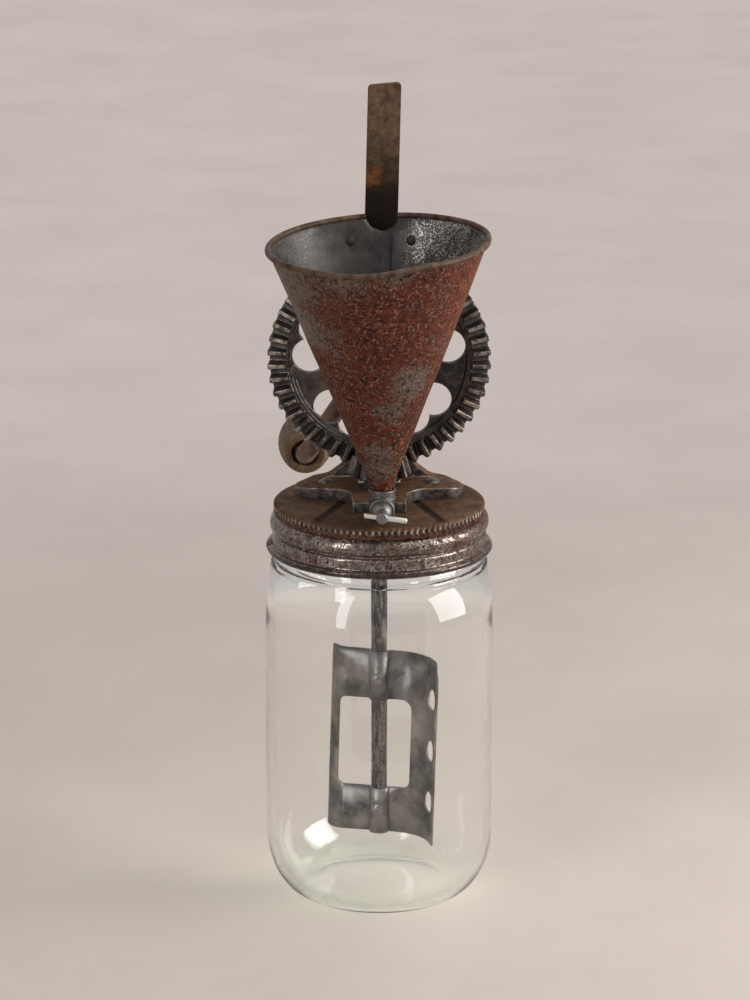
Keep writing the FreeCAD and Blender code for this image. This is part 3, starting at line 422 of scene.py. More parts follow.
def cast_iron(colours):
    """Casting: rusty brown where dust lies, dark on its sides, bright on its worn edges."""
    mat = Finish("frame_cast_iron")
    upward = mat.parts(mat.normal())[2]
    mottle = mat.grain(430.0, 6.0, 0.76)
    clouds = mat.grain(75.0, 4.0)
    edge, rounded = mat.worn_edges(0.8 * MM)
    up = mat.ramped(mat.plus(upward, mat.times(clouds, 0.25)), 0.35, 0.75)
    side = mat.toned(mottle, 0.35, 0.7, colours.iron, 0.7, 4.2)
    top = mat.toned(mottle, 0.32, 0.66, colours.brown, 0.35, 1.5)
    base = mat.mixed(up, side, top)
    base = mat.mixed(edge, base, Vector(colours.worn) * 1.1)
    metal = mat.calc("MAXIMUM", edge, mat.ramped(up, 0.0, 1.0, 0.6, 0.1))
    mat.feed(Base_Color=base, Metallic=metal, Roughness=mat.ramped(up, 0.0, 1.0, 0.36, 0.68),
             Specular_IOR_Level=0.2)
    mat.roughened(mottle, 0.5, 0.4 * MM, rounded)
    return mat.material


def strap_bar():
    """Flat bar: brown at its top, darkened towards the funnel by painted shade (the funnel's shadow and its
    dark reflection), with a spot of orange rust.
    """
    mat = Finish("strap_browned_bar")
    z = mat.parts()[2]
    mottle = mat.grain(260.0, 6.0, 0.7)
    clouds = mat.grain(70.0, 4.0)
    edge, rounded = mat.worn_edges(0.4 * MM)
    height = mat.plus(z, mat.times(mat.minus(clouds, 0.5), 14 * MM))
    brown = mat.mixed(mat.ramped(mottle, 0.32, 0.68), *STRAP_BROWN)
    # Painted shade: the bar darkens to near black towards the funnel, standing in for the funnel's shadow and
    # dark reflection
    base = mat.mixed(mat.ramped(height, 296 * MM, 266 * MM), brown, PAINTED_SHADE)
    spot = mat.times(mat.blot((-2.5, 16, 276.5), 6), mat.ramped(mottle, 0.42, 0.55))
    base = mat.mixed(spot, base, STRAP_ORANGE)
    base = mat.mixed(mat.times(edge, 0.5), base, STRAP_EDGE)
    mat.feed(Base_Color=base, Metallic=0.2, Roughness=mat.ramped(mottle, 0.3, 0.7, 0.45, 0.65),
             Specular_IOR_Level=0.15)
    mat.roughened(mottle, 0.3, 0.2 * MM, rounded)
    return mat.material


def rod_rust():
    """Crank rod: reddish rust with rubbed steel."""
    mat = Finish("crank_rusted_rod")
    mottle = mat.grain(300.0, 6.0, 0.7)
    clouds = mat.grain(90.0, 4.0)
    base = mat.mixed(mat.ramped(mottle, 0.3, 0.68), *ROD_RUST)
    rubbed = mat.ramped(clouds, 0.54, 0.66)
    base = mat.mixed(mat.times(rubbed, 0.7), base, ROD_RUBBED)
    mat.feed(Base_Color=base, Metallic=mat.ramped(rubbed, 0.0, 1.0, 0.15, 0.7), Roughness=0.5)
    mat.roughened(mottle, 0.4, 0.25 * MM)
    return mat.material


def grip_wood(colours):
    """Grip: weathered grey-brown wood whose grain runs along it, tan where the end is rubbed."""
    mat = Finish("grip_weathered_wood")
    y = mat.parts()[1]
    stretch = mat.stretched(1.0, 0.07, 1.0)
    fibre = mat.grain(620.0, 6.0, 0.65, 0.6, place=stretch)
    crack = mat.ramped(mat.grain(1500.0, 3.0, 0.6, place=stretch), 0.62, 0.72)
    base = mat.toned(fibre, 0.3, 0.7, colours.wood, 0.5, 1.35)
    grey = mat.ramped(mat.grain(80.0, 4.0), 0.4, 0.65)
    base = mat.mixed(mat.times(grey, 0.6), base, WOOD_GREY)
    base = mat.mixed(mat.times(crack, 0.8), base, WOOD_CRACKS)
    end = mat.ramped(y, KNOB_LOW.y + 1.6 * MM, KNOB_LOW.y + 0.5 * MM)
    tan = mat.mixed(mat.ramped(fibre, 0.3, 0.7), *WOOD_TAN)
    mat.feed(Base_Color=mat.mixed(end, base, tan), Roughness=0.6, Specular_IOR_Level=0.2)
    mat.roughened(mat.minus(fibre, crack), 0.35, 0.3 * MM)
    return mat.material


def satin_steel(name, dark, light, metal, rough):
    """Worn steel of the paddle, rivets, washers and stopcock, clouded and finely scratched."""
    mat = Finish(name)
    clouds = mat.grain(85.0, 5.0, 0.6)
    mottle = mat.grain(420.0, 5.0, 0.7)
    stretch = mat.stretched(1.0, 1.0, 0.12)
    scratch = mat.ramped(mat.grain(1400.0, 2.0, place=stretch), 0.60, 0.70)
    base = mat.mixed(mat.ramped(clouds, 0.32, 0.68), dark, light)
    base = mat.mixed(mat.ramped(mottle, 0.62, 0.74), base, Vector(dark) * 0.45)
    base = mat.mixed(mat.times(scratch, 0.35), base, Vector(light) * 1.25)
    edge, rounded = mat.worn_edges(0.25 * MM)
    base = mat.mixed(mat.times(edge, 0.45), base, Vector(light) * 1.6)
    mat.feed(Base_Color=base, Metallic=metal,
             Roughness=mat.ramped(clouds, 0.3, 0.7, rough - 0.08, rough + 0.1))
    mat.roughened(mottle, 0.2, 0.12 * MM, rounded)
    return mat.material


def pitted_steel():
    """Beater shaft: dark grey steel, streaked along its length and pitted."""
    mat = Finish("shaft_pitted_steel")
    along = mat.stretched(1.0, 1.0, 0.18)
    streak = mat.ramped(mat.grain(620.0, 4.0, 0.65, place=along), 0.40, 0.62)
    pits = mat.ramped(mat.grain(950.0, 4.0, 0.7), 0.52, 0.62)
    base = mat.mixed(streak, *SHAFT_STEEL)
    base = mat.mixed(mat.times(pits, 0.85), base, BLACKENED)
    mat.feed(Base_Color=base, Metallic=0.6, Roughness=mat.ramped(pits, 0.0, 1.0, 0.42, 0.7),
             Specular_IOR_Level=0.2)
    mat.roughened(mat.minus(streak, pits), 0.5, 0.3 * MM)
    return mat.material


def seal_rubber():
    """Red-brown perished rubber of the lid's seal."""
    mat = Finish("seal_old_rubber")
    mottle = mat.grain(350.0, 5.0)
    mat.feed(Base_Color=mat.mixed(mottle, *SEAL_RUBBER), Roughness=0.75)
    mat.roughened(mottle, 0.3, 0.2 * MM)
    return mat.material


def jar_glass(colours):
    """Clear pressed glass, faintly wavy, that lets lamps through to what is inside."""
    mat = Finish("jar_clear_glass")
    x, y, z = mat.parts()
    heel = mat.times(mat.ramped(z, 16.0 * MM, 3.0 * MM), mat.ramped(mat.reach(x, y), 26.0 * MM, 31.0 * MM))
    mat.feed(Base_Color=mat.mixed(heel, colours.glass, HEEL_GLASS), Roughness=0.0, IOR=1.5,
             Transmission_Weight=1.0)
    waves = mat.grain(45.0, 2.0, 0.4, place=mat.stretched(1.0, 1.0, 0.35))
    mat.roughened(waves, 0.06, 1.0 * MM)
    clear = mat.add("ShaderNodeBsdfTransparent", {"Color": (*SHADOW_GLASS, 1.0)})
    mat.show_mix(mat.add("ShaderNodeLightPath").outputs["Is Shadow Ray"], clear)
    return mat.material


def clamped(value):
    """Value kept from 0 to 1."""
    return min(1.0, max(0.0, value))


def arc(centre, radii, degrees):
    """Points of an elliptic arc; 0 degrees lies along the first axis."""
    angles = [math.radians(angle) for angle in degrees]
    return [(centre[0] + radii[0] * math.cos(a), centre[1] + radii[1] * math.sin(a)) for a in angles]


def circle(centre, radius, count):
    return arc(centre, (radius, radius), [360.0 * step / count for step in range(count)])


def closed_loop(bm, points):
    """Edges round a list of points."""
    verts = [bm.verts.new(point) for point in points]
    return [bm.edges.new(pair) for pair in zip(verts, verts[1:] + verts[:1])]


def full_spin(bm, centre, axis, steps):
    bmesh.ops.spin(bm, geom=bm.verts[:] + bm.edges[:], cent=centre, axis=axis, angle=2 * math.pi,
                   steps=steps, use_merge=True)


def profile_ring(points, centre, axis, across, steps):
    """Spin a closed outline of (radius, along) points in mm, with a round-off where given, about an axis."""
    bm = bmesh.new()
    spots = [Vector(centre) + Vector(across) * (radius * MM) + Vector(axis) * (along * MM)
             for radius, along, *_ in points]
    closed_loop(bm, spots)
    for vert, (_, _, *rounding) in zip(bm.verts[:], points):
        if rounding:
            bmesh.ops.bevel(bm, geom=[vert], offset=rounding[0] * MM, offset_type="OFFSET", segments=6,
                            profile=0.5, affect="VERTICES", material=-1)
    full_spin(bm, centre, axis, steps)
    bmesh.ops.remove_doubles(bm, verts=bm.verts, dist=0.01 * MM)
    bmesh.ops.recalc_face_normals(bm, faces=bm.faces)
    return bm


def keep_piece(name, bm, body, finishes, stands_for=(), sharp=40.0):
    """Turn a bmesh into a finished piece that rides on a body."""
    mesh = bpy.data.meshes.new(name)
    bm.to_mesh(mesh)
    bm.free()
    for finish in finishes:
        mesh.materials.append(finish)
    for face in mesh.polygons:
        face.use_smooth = True
    mesh.set_sharp_from_angle(angle=math.radians(sharp))
    made = bpy.data.objects.new(name, mesh)
    bpy.context.scene.collection.objects.link(made)
    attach(made, body)
    if stands_for:
        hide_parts(*stands_for)
    return made


def thicken(piece, thickness, offset):
    """Give a sheet its thickness, in mm."""
    wall = piece.modifiers.new("Sheet", "SOLIDIFY")
    wall.thickness = thickness * MM
    wall.offset = offset
    return wall


def paint(finish, *nodes):
    """Give carried-over nodes a finish."""
    for name in nodes:
        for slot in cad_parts[name].material_slots:
            slot.link = "OBJECT"
            slot.material = finish


class MixerOperator:
    """What the operators share: a run builds from the scene's settings."""

    bl_options = {"REGISTER"}

    def execute(self, context):
        self.build(context.scene.mixer_sizes, context.scene.mixer_colours)
        return {"FINISHED"}


class MIXER_OT_jar(MixerOperator, bpy.types.Operator):
    """Model the glass jar with its thick base, heel, shoulder and finish"""

    bl_idname = "mixer.jar"
    bl_label = "Jar"

    outside, inside = 43.3, 40.2
    finish, mouth = 37.6, 33.8
    top = 153.4
    heel_width, heel_height = 15.0, 25.0
    bend_width, bend_height, bend_level = 12.6, 22.0, 25.4
    shoulder_level, shoulder_rise, shoulder_drop = 104.0, 28.0, 2.3
    throat_level, throat_rise, throat_drop = 111.0, 22.2, 6.4
    lip = 0.9

    def build(self, sizes, colours):
        shares = [step / 14 for step in range(15)]
        foot = [(0, 0.9), (18.0, 0.8, 6.0), (26.6, 0, 2.0)]
        heel = arc((self.outside - self.heel_width, self.heel_height), (self.heel_width, self.heel_height),
                   range(-90, 1, 6))
        shoulder = [(self.outside - self.shoulder_drop * share ** 2.1,
                     self.shoulder_level + self.shoulder_rise * share) for share in shares]
        neck = [(39.7, 132.4, 0.15), (39.9, 133.4, 0.3), (40.3, 136.0, 0.8), (self.finish, 138.4, 1.0)]
        lips = [(self.finish, self.top, self.lip), (self.mouth, self.top, self.lip), (self.mouth, 137.0)]
        throat = [(self.inside - self.throat_drop * share ** 2.2,
                   self.throat_level + self.throat_rise * share) for share in reversed(shares)]
        bend = arc((self.inside - self.bend_width, self.bend_level), (self.bend_width, self.bend_height),
                   range(0, -91, -6))
        base = [(16.0, 3.7, 6.0), (0, 4.4)]
        bm = profile_ring(foot + heel + shoulder + neck + lips + throat + bend + base,
                          (0, 0, 0), (0, 0, 1), (1, 0, 0), 160)
        finish = jar_glass(colours)
        keep_piece("jar_glass_body", bm, "jar", [finish], ("glass_jar",), 60.0)


class MIXER_OT_lid(MixerOperator, bpy.types.Operator):
    """Model the screw lid with its grip ridges, thread bead, pressed channels and curled rim"""

    bl_idname = "mixer.lid"
    bl_label = "Lid"

    shaft_hole = 5.5
    band_inside, band_drop = 37.9, 4.7
    bead_drop, bead_half, bead_reach = 8.1, 2.9, 1.75
    groove_edge = 1.9

    def build(self, sizes, colours):
        top = LID_HIGH.z / MM
        deck = [(r, 0) for r in (self.shaft_hole, *range(7, 37), 37.6)] + [(39.4, 0.2, 0.9)]
        band = [(39.75, drop) for drop in (1.2, 2.0, 2.8, 3.6, 4.4)]
        bead = [(39.6, 4.9 + 0.45 * step) for step in range(16)]
        rim = [(40.5, 12.4, 0.5), (40.5, 16.2, 0.4), (42.4, 16.4, 0.7), (43.0, 17.6, 0.7), (42.2, 18.9, 0.7),
               (40.4, 18.9, 0.5)]
        inner = [(39.9, 18.0, 0.4), (39.9, 12.6, 0.4), (39.0, 11.6, 0.3), (39.0, 5.0, 0.3), (38.6, 0.8, 0.5),
                 (self.shaft_hole, 0.6)]
        outline = [(radius, top - drop, *rounding)
                   for radius, drop, *rounding in deck + band + bead + rim + inner]
        bm = profile_ring(outline, (0, 0, 0), (0, 0, 1), (0, -1, 0), sizes.ridge_count * 6)
        for vert in bm.verts:
            self.press(vert, sizes, top)
        finish = lid_tin(colours, sizes.ridge_count)
        keep_piece("lid_pressed", bm, "head", [finish], ("jar_lid",), 50.0)

    def press(self, vert, sizes, top):
        """Push one point of the plain lid out to its ridge or bead, or down into its channel."""
        radius = math.hypot(vert.co.x, vert.co.y) / MM
        drop = top - vert.co.z / MM
        turn = math.atan2(vert.co.x, -vert.co.y)
        out = 0.0
        if radius > self.band_inside and drop < self.band_drop and (radius > 39.05 or drop < 0.45):
            fade = clamped((self.band_drop - drop) / 0.8) * clamped((radius - self.band_inside) / 1.2)
            out = fade * sizes.ridge_depth / MM * (max(0.0, math.cos(turn * sizes.ridge_count)) - 0.5)
        elif radius > 39.2 and self.band_drop < drop < 12.0:
            middle = self.bead_drop - sizes.thread_rise / MM * turn / (2 * math.pi)
            crown = max(0.0, 1.0 - ((drop - middle) / self.bead_half) ** 2) ** 0.5
            out = self.bead_reach * crown - 0.3 * math.exp(-((drop - 4.9) / 0.5) ** 2)
        if 10.0 < radius < 37.4 and drop < 0.3 and vert.co.y < 0:
            side = abs(vert.co.x) / MM - GROOVE_SIDE
            ahead = -vert.co.y / MM - GROOVE_AHEAD
            along = ahead * math.cos(GROOVE_LEAN) + side * math.sin(GROOVE_LEAN)
            across = side * math.cos(GROOVE_LEAN) - ahead * math.sin(GROOVE_LEAN)
            depth = clamped((self.groove_edge - abs(across)) / 0.8) * clamped(GROOVE_HALF_LENGTH - abs(along))
            vert.co.z -= sizes.groove_depth * depth
        if out:
            scale = (radius + out) / radius
            vert.co.x *= scale
            vert.co.y *= scale


class MIXER_OT_funnel(MixerOperator, bpy.types.Operator):
    """Model the dented sheet funnel, its rolled rim with the notch, and its lap seam"""

    bl_idname = "mixer.funnel"
    bl_label = "Funnel"

    rim_radius, neck_radius = 40.2, 3.9
    height, neck_length = 97.2, 4.2
    sheet = 0.6
    wire_radius = 1.15
    notch, notch_x = 6.3, 1.3
    rim_slope = 0.0384
    seam_low, seam_rise, seam_x = 14.0, 76.5, 3.4
    rows, columns = 48, 220

    def share(self, height):
        """Part of the cone's height, from 0 at the neck to 1 at the rim."""
        return (height - self.neck_length) / (self.height - self.neck_length)

    def cone_radius(self, height):
        return self.neck_radius + (self.rim_radius - self.neck_radius) * self.share(height)

    def wave(self, turn):
        """Height of the bent rim over its plane; turn is 0 at the front and grows to the right."""
        return 0.7 * math.exp(-((turn - 0.40) / 0.24) ** 2) - 1.3 * math.exp(-((turn + 0.20) / 0.5) ** 2)

    def shaped(self, co, sizes):
        """Bend one point of the plain cone to the tilted, wavy and dented sheet, in mm."""
        share = max(0.0, self.share(co.z))
        turn = math.atan2(co.x, -co.y)
        dent = noise.noise(co * 0.055 + Vector((3.1, 0.4, 1.7))) * sizes.dent_depth / MM * min(1.0, 2 * share)
        radius = math.hypot(co.x, co.y)
        scale = (radius + dent) / radius
        rise = share * self.rim_slope * co.x + share ** 4 * self.wave(turn)
        return Vector((co.x * scale, co.y * scale, co.z + rise))

    def wall_point(self, radius, turn, height, sizes):
        return self.shaped(Vector((radius * math.sin(turn), -radius * math.cos(turn), height)), sizes)

    def build(self, sizes, colours):
        bm = bmesh.new()
        cone = self.height - self.neck_length
        heights = [self.neck_length + cone * step / self.rows for step in range(self.rows + 1)]
        line = [(self.neck_radius, 0.0)] + [(self.cone_radius(height), height) for height in heights]
        verts = [bm.verts.new((0, -radius, height)) for radius, height in line]
        for pair in zip(verts, verts[1:]):
            bm.edges.new(pair)
        full_spin(bm, (0, 0, 0), (0, 0, 1), self.columns)
        bmesh.ops.remove_doubles(bm, verts=bm.verts, dist=0.01)
        for vert in bm.verts:
            vert.co = self.shaped(vert.co, sizes)
        self.cut_notch(bm)
        bmesh.ops.recalc_face_normals(bm, faces=bm.faces)
        bm.transform(FUNNEL_PLACE @ Matrix.Scale(MM, 4))
        lowest = min(bm.faces, key=lambda face: face.calc_center_median().z)
        if lowest.normal.dot(lowest.calc_center_median() - FUNNEL_TIP) < 0:
            bmesh.ops.reverse_faces(bm, faces=bm.faces)
        outer, inner = rusted_tin(colours), dull_tin()
        sheet = keep_piece("funnel_sheet", bm, "head", [outer, inner], ("funnel",))
        thicken(sheet, self.sheet, -1.0).material_offset = 1
        self.roll_rim(sizes)
        self.lap_seam(sizes, inner)

    def cut_notch(self, bm):
        """Take out the half-round notch at the back and draw its edge onto the circle."""
        top = self.height + 1.2

        def gap(co):
            return math.hypot(co.x - self.notch_x, co.z - top)

        gone = [face for face in bm.faces
                if face.calc_center_median().y > 0 and gap(face.calc_center_median()) < self.notch]
        bmesh.ops.delete(bm, geom=gone, context="FACES")
        for vert in bm.verts:
            near = vert.co.y > 0 and gap(vert.co) < self.notch + 2.2 and vert.co.z < top - 0.9
            if vert.is_boundary and near:
                away = Vector((vert.co.x - self.notch_x, 0, vert.co.z - top))
                vert.co += away.normalized() * (self.notch - away.length)

    def roll_rim(self, sizes):
        """Rolled edge: a round section swept along the bent rim from one side of the notch to the other."""
        half_gap = math.asin((self.notch - 0.4) / self.rim_radius)
        curve = bpy.data.curves.new("funnel_rim_line", "CURVE")
        curve.dimensions = "3D"
        curve.bevel_depth = self.wire_radius * MM
        curve.bevel_resolution = 4
        curve.use_fill_caps = True
        spline = curve.splines.new("POLY")
        count = 180
        start = -math.pi + half_gap - self.notch_x / self.rim_radius
        sweep = 2 * math.pi - 2 * half_gap
        spline.points.add(count - 1)
        for index, point in enumerate(spline.points):
            turn = start + sweep * index / (count - 1)
            spot = self.wall_point(self.rim_radius, turn, self.height, sizes)
            point.co = (*(FUNNEL_PLACE @ (spot * MM)), 1.0)
        holder = bpy.data.objects.new("funnel_rim_line", curve)
        bpy.context.scene.collection.objects.link(holder)
        bpy.context.view_layer.update()
        mesh = bpy.data.meshes.new_from_object(holder.evaluated_get(bpy.context.evaluated_depsgraph_get()))
        bpy.data.objects.remove(holder)
        bm = bmesh.new()
        bm.from_mesh(mesh)
        bmesh.ops.remove_doubles(bm, verts=bm.verts, dist=0.01 * MM)
        bmesh.ops.recalc_face_normals(bm, faces=bm.faces)
        keep_piece("funnel_rolled_rim", bm, "head", [rolled_tin()], ("funnel_rim",))

    def lap_seam(self, sizes, finish):
        """Thin strip on the inside of the back wall, where the sheet laps over itself."""
        bm = bmesh.new()
        rows = []
        for share in (step / 29 for step in range(30)):
            height = self.seam_low + self.seam_rise * share
            radius = self.cone_radius(height)
            half = sizes.seam_width / MM / 2 * min(1.0, 0.35 + 0.65 * share)
            middle = self.seam_x * height / self.height
            row = []
            for x in (middle - half, middle + half):
                spot = self.wall_point(radius, math.pi - math.asin(x / radius), height, sizes)
                row.append(bm.verts.new(spot + self.inward(spot, 0.75)))
            rows.append(row)
        for low, high in zip(rows, rows[1:]):
            bm.faces.new((low[0], low[1], high[1], high[0]))
        made = bmesh.ops.extrude_face_region(bm, geom=bm.faces[:])
        for vert in (item for item in made["geom"] if isinstance(item, bmesh.types.BMVert)):
            vert.co += self.inward(vert.co, 0.4)
        bmesh.ops.recalc_face_normals(bm, faces=bm.faces)
        bm.transform(FUNNEL_PLACE @ Matrix.Scale(MM, 4))
        keep_piece("funnel_lap_seam", bm, "head", [finish])

    def inward(self, spot, distance):
        """Step from a point of the wall towards the funnel's axis."""
        return Vector((-spot.x, -spot.y, 0)).normalized() * distance


class MIXER_OT_stopcock(MixerOperator, bpy.types.Operator):
    """Finish the stopcock, and model its rings and its cross bar with rounded ends"""

    bl_idname = "mixer.stopcock"
    bl_label = "Stopcock"

    plug_level = 160.5
    column_depth = 7.0
    ring_wire = 0.42
    bar_radius, bar_length, bar_rounding = 1.05, 16.0, 0.45
    bar_droop = math.radians(8.0)

    def build(self, sizes, colours):
        grey = satin_steel("stopcock_grey_metal", (0.085, 0.083, 0.082), (0.20, 0.195, 0.19), 0.8, 0.40)
        paint(grey, "valve_body", "valve_plug")
        low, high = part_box("valve_body")
        column = Vector(((low.x + high.x) / 2, low.y + self.column_depth * MM, 0))
        boss = Vector((column.x, 0, self.plug_level * MM))
        for name, centre, axis, radius, level in (
                ("stopcock_top_ring", column, (0, 0, 1), 4.75, high.z / MM - 0.45),
                ("stopcock_low_ring", column, (0, 0, 1), 4.75, high.z / MM - 3.4),
                ("stopcock_boss_ring", boss, (0, 1, 0), 4.3, low.y / MM + 0.3)):
            hoop = profile_ring(circle((radius, level), self.ring_wire, 12), centre, axis, (1, 0, 0), 48)
            keep_piece(name, hoop, "head", [grey])
        self.cross_bar()

    def cross_bar(self):
        low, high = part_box("valve_handle")
        along = Vector((math.cos(self.bar_droop), 0, -math.sin(self.bar_droop)))
        bm = bmesh.new()
        bmesh.ops.create_cone(bm, cap_ends=True, segments=32, radius1=self.bar_radius * MM,
                              radius2=self.bar_radius * MM, depth=self.bar_length * MM)
        rims = [edge for edge in bm.edges if abs(edge.verts[0].co.z - edge.verts[1].co.z) < 1e-6]
        bmesh.ops.bevel(bm, geom=rims, offset=self.bar_rounding * MM, segments=4, profile=0.5, affect="EDGES",
                        material=-1)
        turn = Vector((0, 0, 1)).rotation_difference(along).to_matrix().to_4x4()
        bm.transform(Matrix.Translation((low + high) / 2) @ turn)
        nickel = satin_steel("handle_bright_nickel", (0.42, 0.40, 0.375), (0.74, 0.71, 0.67), 1.0, 0.28)
        keep_piece("stopcock_cross_bar", bm, "valve", [nickel], ("valve_handle",))


class MIXER_OT_drive(MixerOperator, bpy.types.Operator):
    """Finish the gears, strap, keeper and crank rod"""

    bl_idname = "mixer.drive"
    bl_label = "Drive and strap"

    def build(self, sizes, colours):
        paint(drive_iron("gear_dark_iron", colours, 0.6), "drive_gear")
        paint(drive_iron("pinion_dark_iron", colours, 0.0), "bevel_pinion")
        paint(strap_bar(), "handle_strap", "funnel_bracket")
        paint(rod_rust(), "crank_rod")


class MIXER_OT_casting(MixerOperator, bpy.types.Operator):
    """Model the casting: curved base with two lobes and a front arm, gusseted post, boss and tongue"""

    bl_idname = "mixer.casting"
    bl_label = "Casting"

    base_height = 4.47
    shaft_hole, axle_hole = 5.0, 3.78
    post_depth = 6.0
    tongue_half, tongue_front = 7.5, 2.25
    boss_radius = 11.0

    def outline(self):
        """Right half of the base's plan, from the front arm to the back, in mm."""
        hollow = arc((18.6, -9.4), (8.0, 8.6), range(180, 99, -10))
        lobe = arc((24.2, 7.6), (7.7, 7.7), range(-80, 31, 10))
        return [(9.9, -18.9)] + hollow + lobe + [(25.0, 18.6), (20.5, 21.8), (13.0, 22.4)]

    def mirrored(self, half):
        """Whole outline from its right half."""
        return half + [(-across, along) for across, along in reversed(half)]

    def slab(self, bm, loops, low, high, upright):
        """Solid between two levels over filled loops; upright says that it stands in the x-z plane."""
        edges = []
        for loop in loops:
            edges += closed_loop(bm, [(a, low, b) if upright else (a, b, low) for a, b in loop])
        filled = bmesh.ops.triangle_fill(bm, use_beauty=True, edges=edges)["geom"]
        faces = [item for item in filled if isinstance(item, bmesh.types.BMFace)]
        made = bmesh.ops.extrude_face_region(bm, geom=faces)["geom"]
        moved = [item for item in made if isinstance(item, bmesh.types.BMVert)]
        shift = high - low
        bmesh.ops.translate(bm, verts=moved, vec=(0, shift, 0) if upright else (0, 0, shift))
        return moved

    def soften(self, bm, offset):
        """Round the sharp edges."""
        bmesh.ops.recalc_face_normals(bm, faces=bm.faces)
        sharp = [edge for edge in bm.edges if edge.is_manifold and edge.calc_face_angle() > math.radians(50)]
        bmesh.ops.bevel(bm, geom=sharp, offset=offset, segments=4, profile=0.5, affect="EDGES", material=-1,
                        clamp_overlap=True)

    def base(self, level):
        """Plate on the lid, whose lobes and front arm slope down to their tips."""
        bm = bmesh.new()
        loops = [self.mirrored(self.outline()), circle((0, 0), self.shaft_hole, 40)]
        for vert in self.slab(bm, loops, level, level + self.base_height, False):
            tip = clamped((abs(vert.co.x) - 23.0) / 9.0)
            nose = clamped((-vert.co.y - 9.0) / 10.0)
            vert.co.z -= 1.1 * tip * tip + 0.5 * nose
        self.soften(bm, 0.9)
        return bm

    def post(self, level, axis, front):
        """Gusseted post with the axle's hole."""
        bm = bmesh.new()
        flank = [(21.5, 0.4), (21.5, 4.1), (18.6, 5.4), (14.3, 8.7), (11.6, 12.6), (9.8, 17.6), (9.0, 23.0)]
        half = [(across, level + up) for across, up in flank] + [(9.0, axis), (7.6, axis + 11.0)]
        loops = [self.mirrored(half), circle((0, axis), self.axle_hole, 40)]
        self.slab(bm, loops, front, front + self.post_depth, True)
        self.soften(bm, 0.7)
        return bm

    def tongue(self, top, axis, front):
        """Round-topped tongue that the strap is riveted to."""
        bm = bmesh.new()
        half = self.tongue_half
        cap = arc((0, top - half), (half, half), range(0, 181, 12))
        loop = [(half, axis + 10.0)] + cap + [(-half, axis + 10.0)]
        self.slab(bm, [loop], front + self.tongue_front, front + self.post_depth, True)
        self.soften(bm, 0.5)
        return bm

    def build(self, sizes, colours):
        low, high = BASE_LOW / MM, BASE_HIGH / MM
        axis = GEAR_AXIS_Z / MM
        front = STRAP_LOW.y / MM
        boss = profile_ring(
            [(self.axle_hole, front - 0.02), (self.boss_radius, front - 0.02, 0.8),
             (self.boss_radius, high.y, 0.8), (self.axle_hole, high.y)],
            (0, 0, axis * MM), (0, 1, 0), (1, 0, 0), 72)
        whole = bmesh.new()
        for part, scale in ((self.base(low.z), MM), (self.post(low.z, axis, front), MM),
                            (self.tongue(high.z, axis, front), MM), (boss, 1.0)):
            part.transform(Matrix.Scale(scale, 4))
            bmesh.ops.recalc_face_normals(part, faces=part.faces)
            mesh = bpy.data.meshes.new("casting_part")
            part.to_mesh(mesh)
            part.free()
            whole.from_mesh(mesh)
            bpy.data.meshes.remove(mesh)
        finish = cast_iron(colours)
        keep_piece("frame_casting", whole, "head", [finish], ("gear_frame",), 35.0)


class MIXER_OT_grip(MixerOperator, bpy.types.Operator):
    """Model the turned wooden grip with its counterbored end"""

    bl_idname = "mixer.grip"
    bl_label = "Grip"

    bore, counterbore = 3.76, 5.2

    def build(self, sizes, colours):
        centre = Vector(((KNOB_LOW.x + KNOB_HIGH.x) / 2, KNOB_LOW.y, (KNOB_LOW.z + KNOB_HIGH.z) / 2))
        length = (KNOB_HIGH.y - KNOB_LOW.y) / MM
        front = [(self.bore, 4.0), (self.counterbore, 4.0, 0.2), (self.counterbore, 0.3, 0.3), (5.8, 0, 0.3)]
        belly = [(7.9, 0, 0.6), (8.3, 1.0, 0.5), (8.7, 3.0, 0.4), (9.0, 3.4, 0.4), (10.35, 10.0, 4.0),
                 (10.9, 17.0, 4.0), (10.2, 26.0, 4.0), (8.4, 34.0, 2.0)]
        tail = [(7.0, length - 0.7, 0.8), (6.0, length, 0.6), (self.bore, length)]
        bm = profile_ring(front + belly + tail, centre, (0, 1, 0), (1, 0, 0), 72)
        finish = grip_wood(colours)
        keep_piece("grip_turned", bm, "knob", [finish], ("crank_knob",))


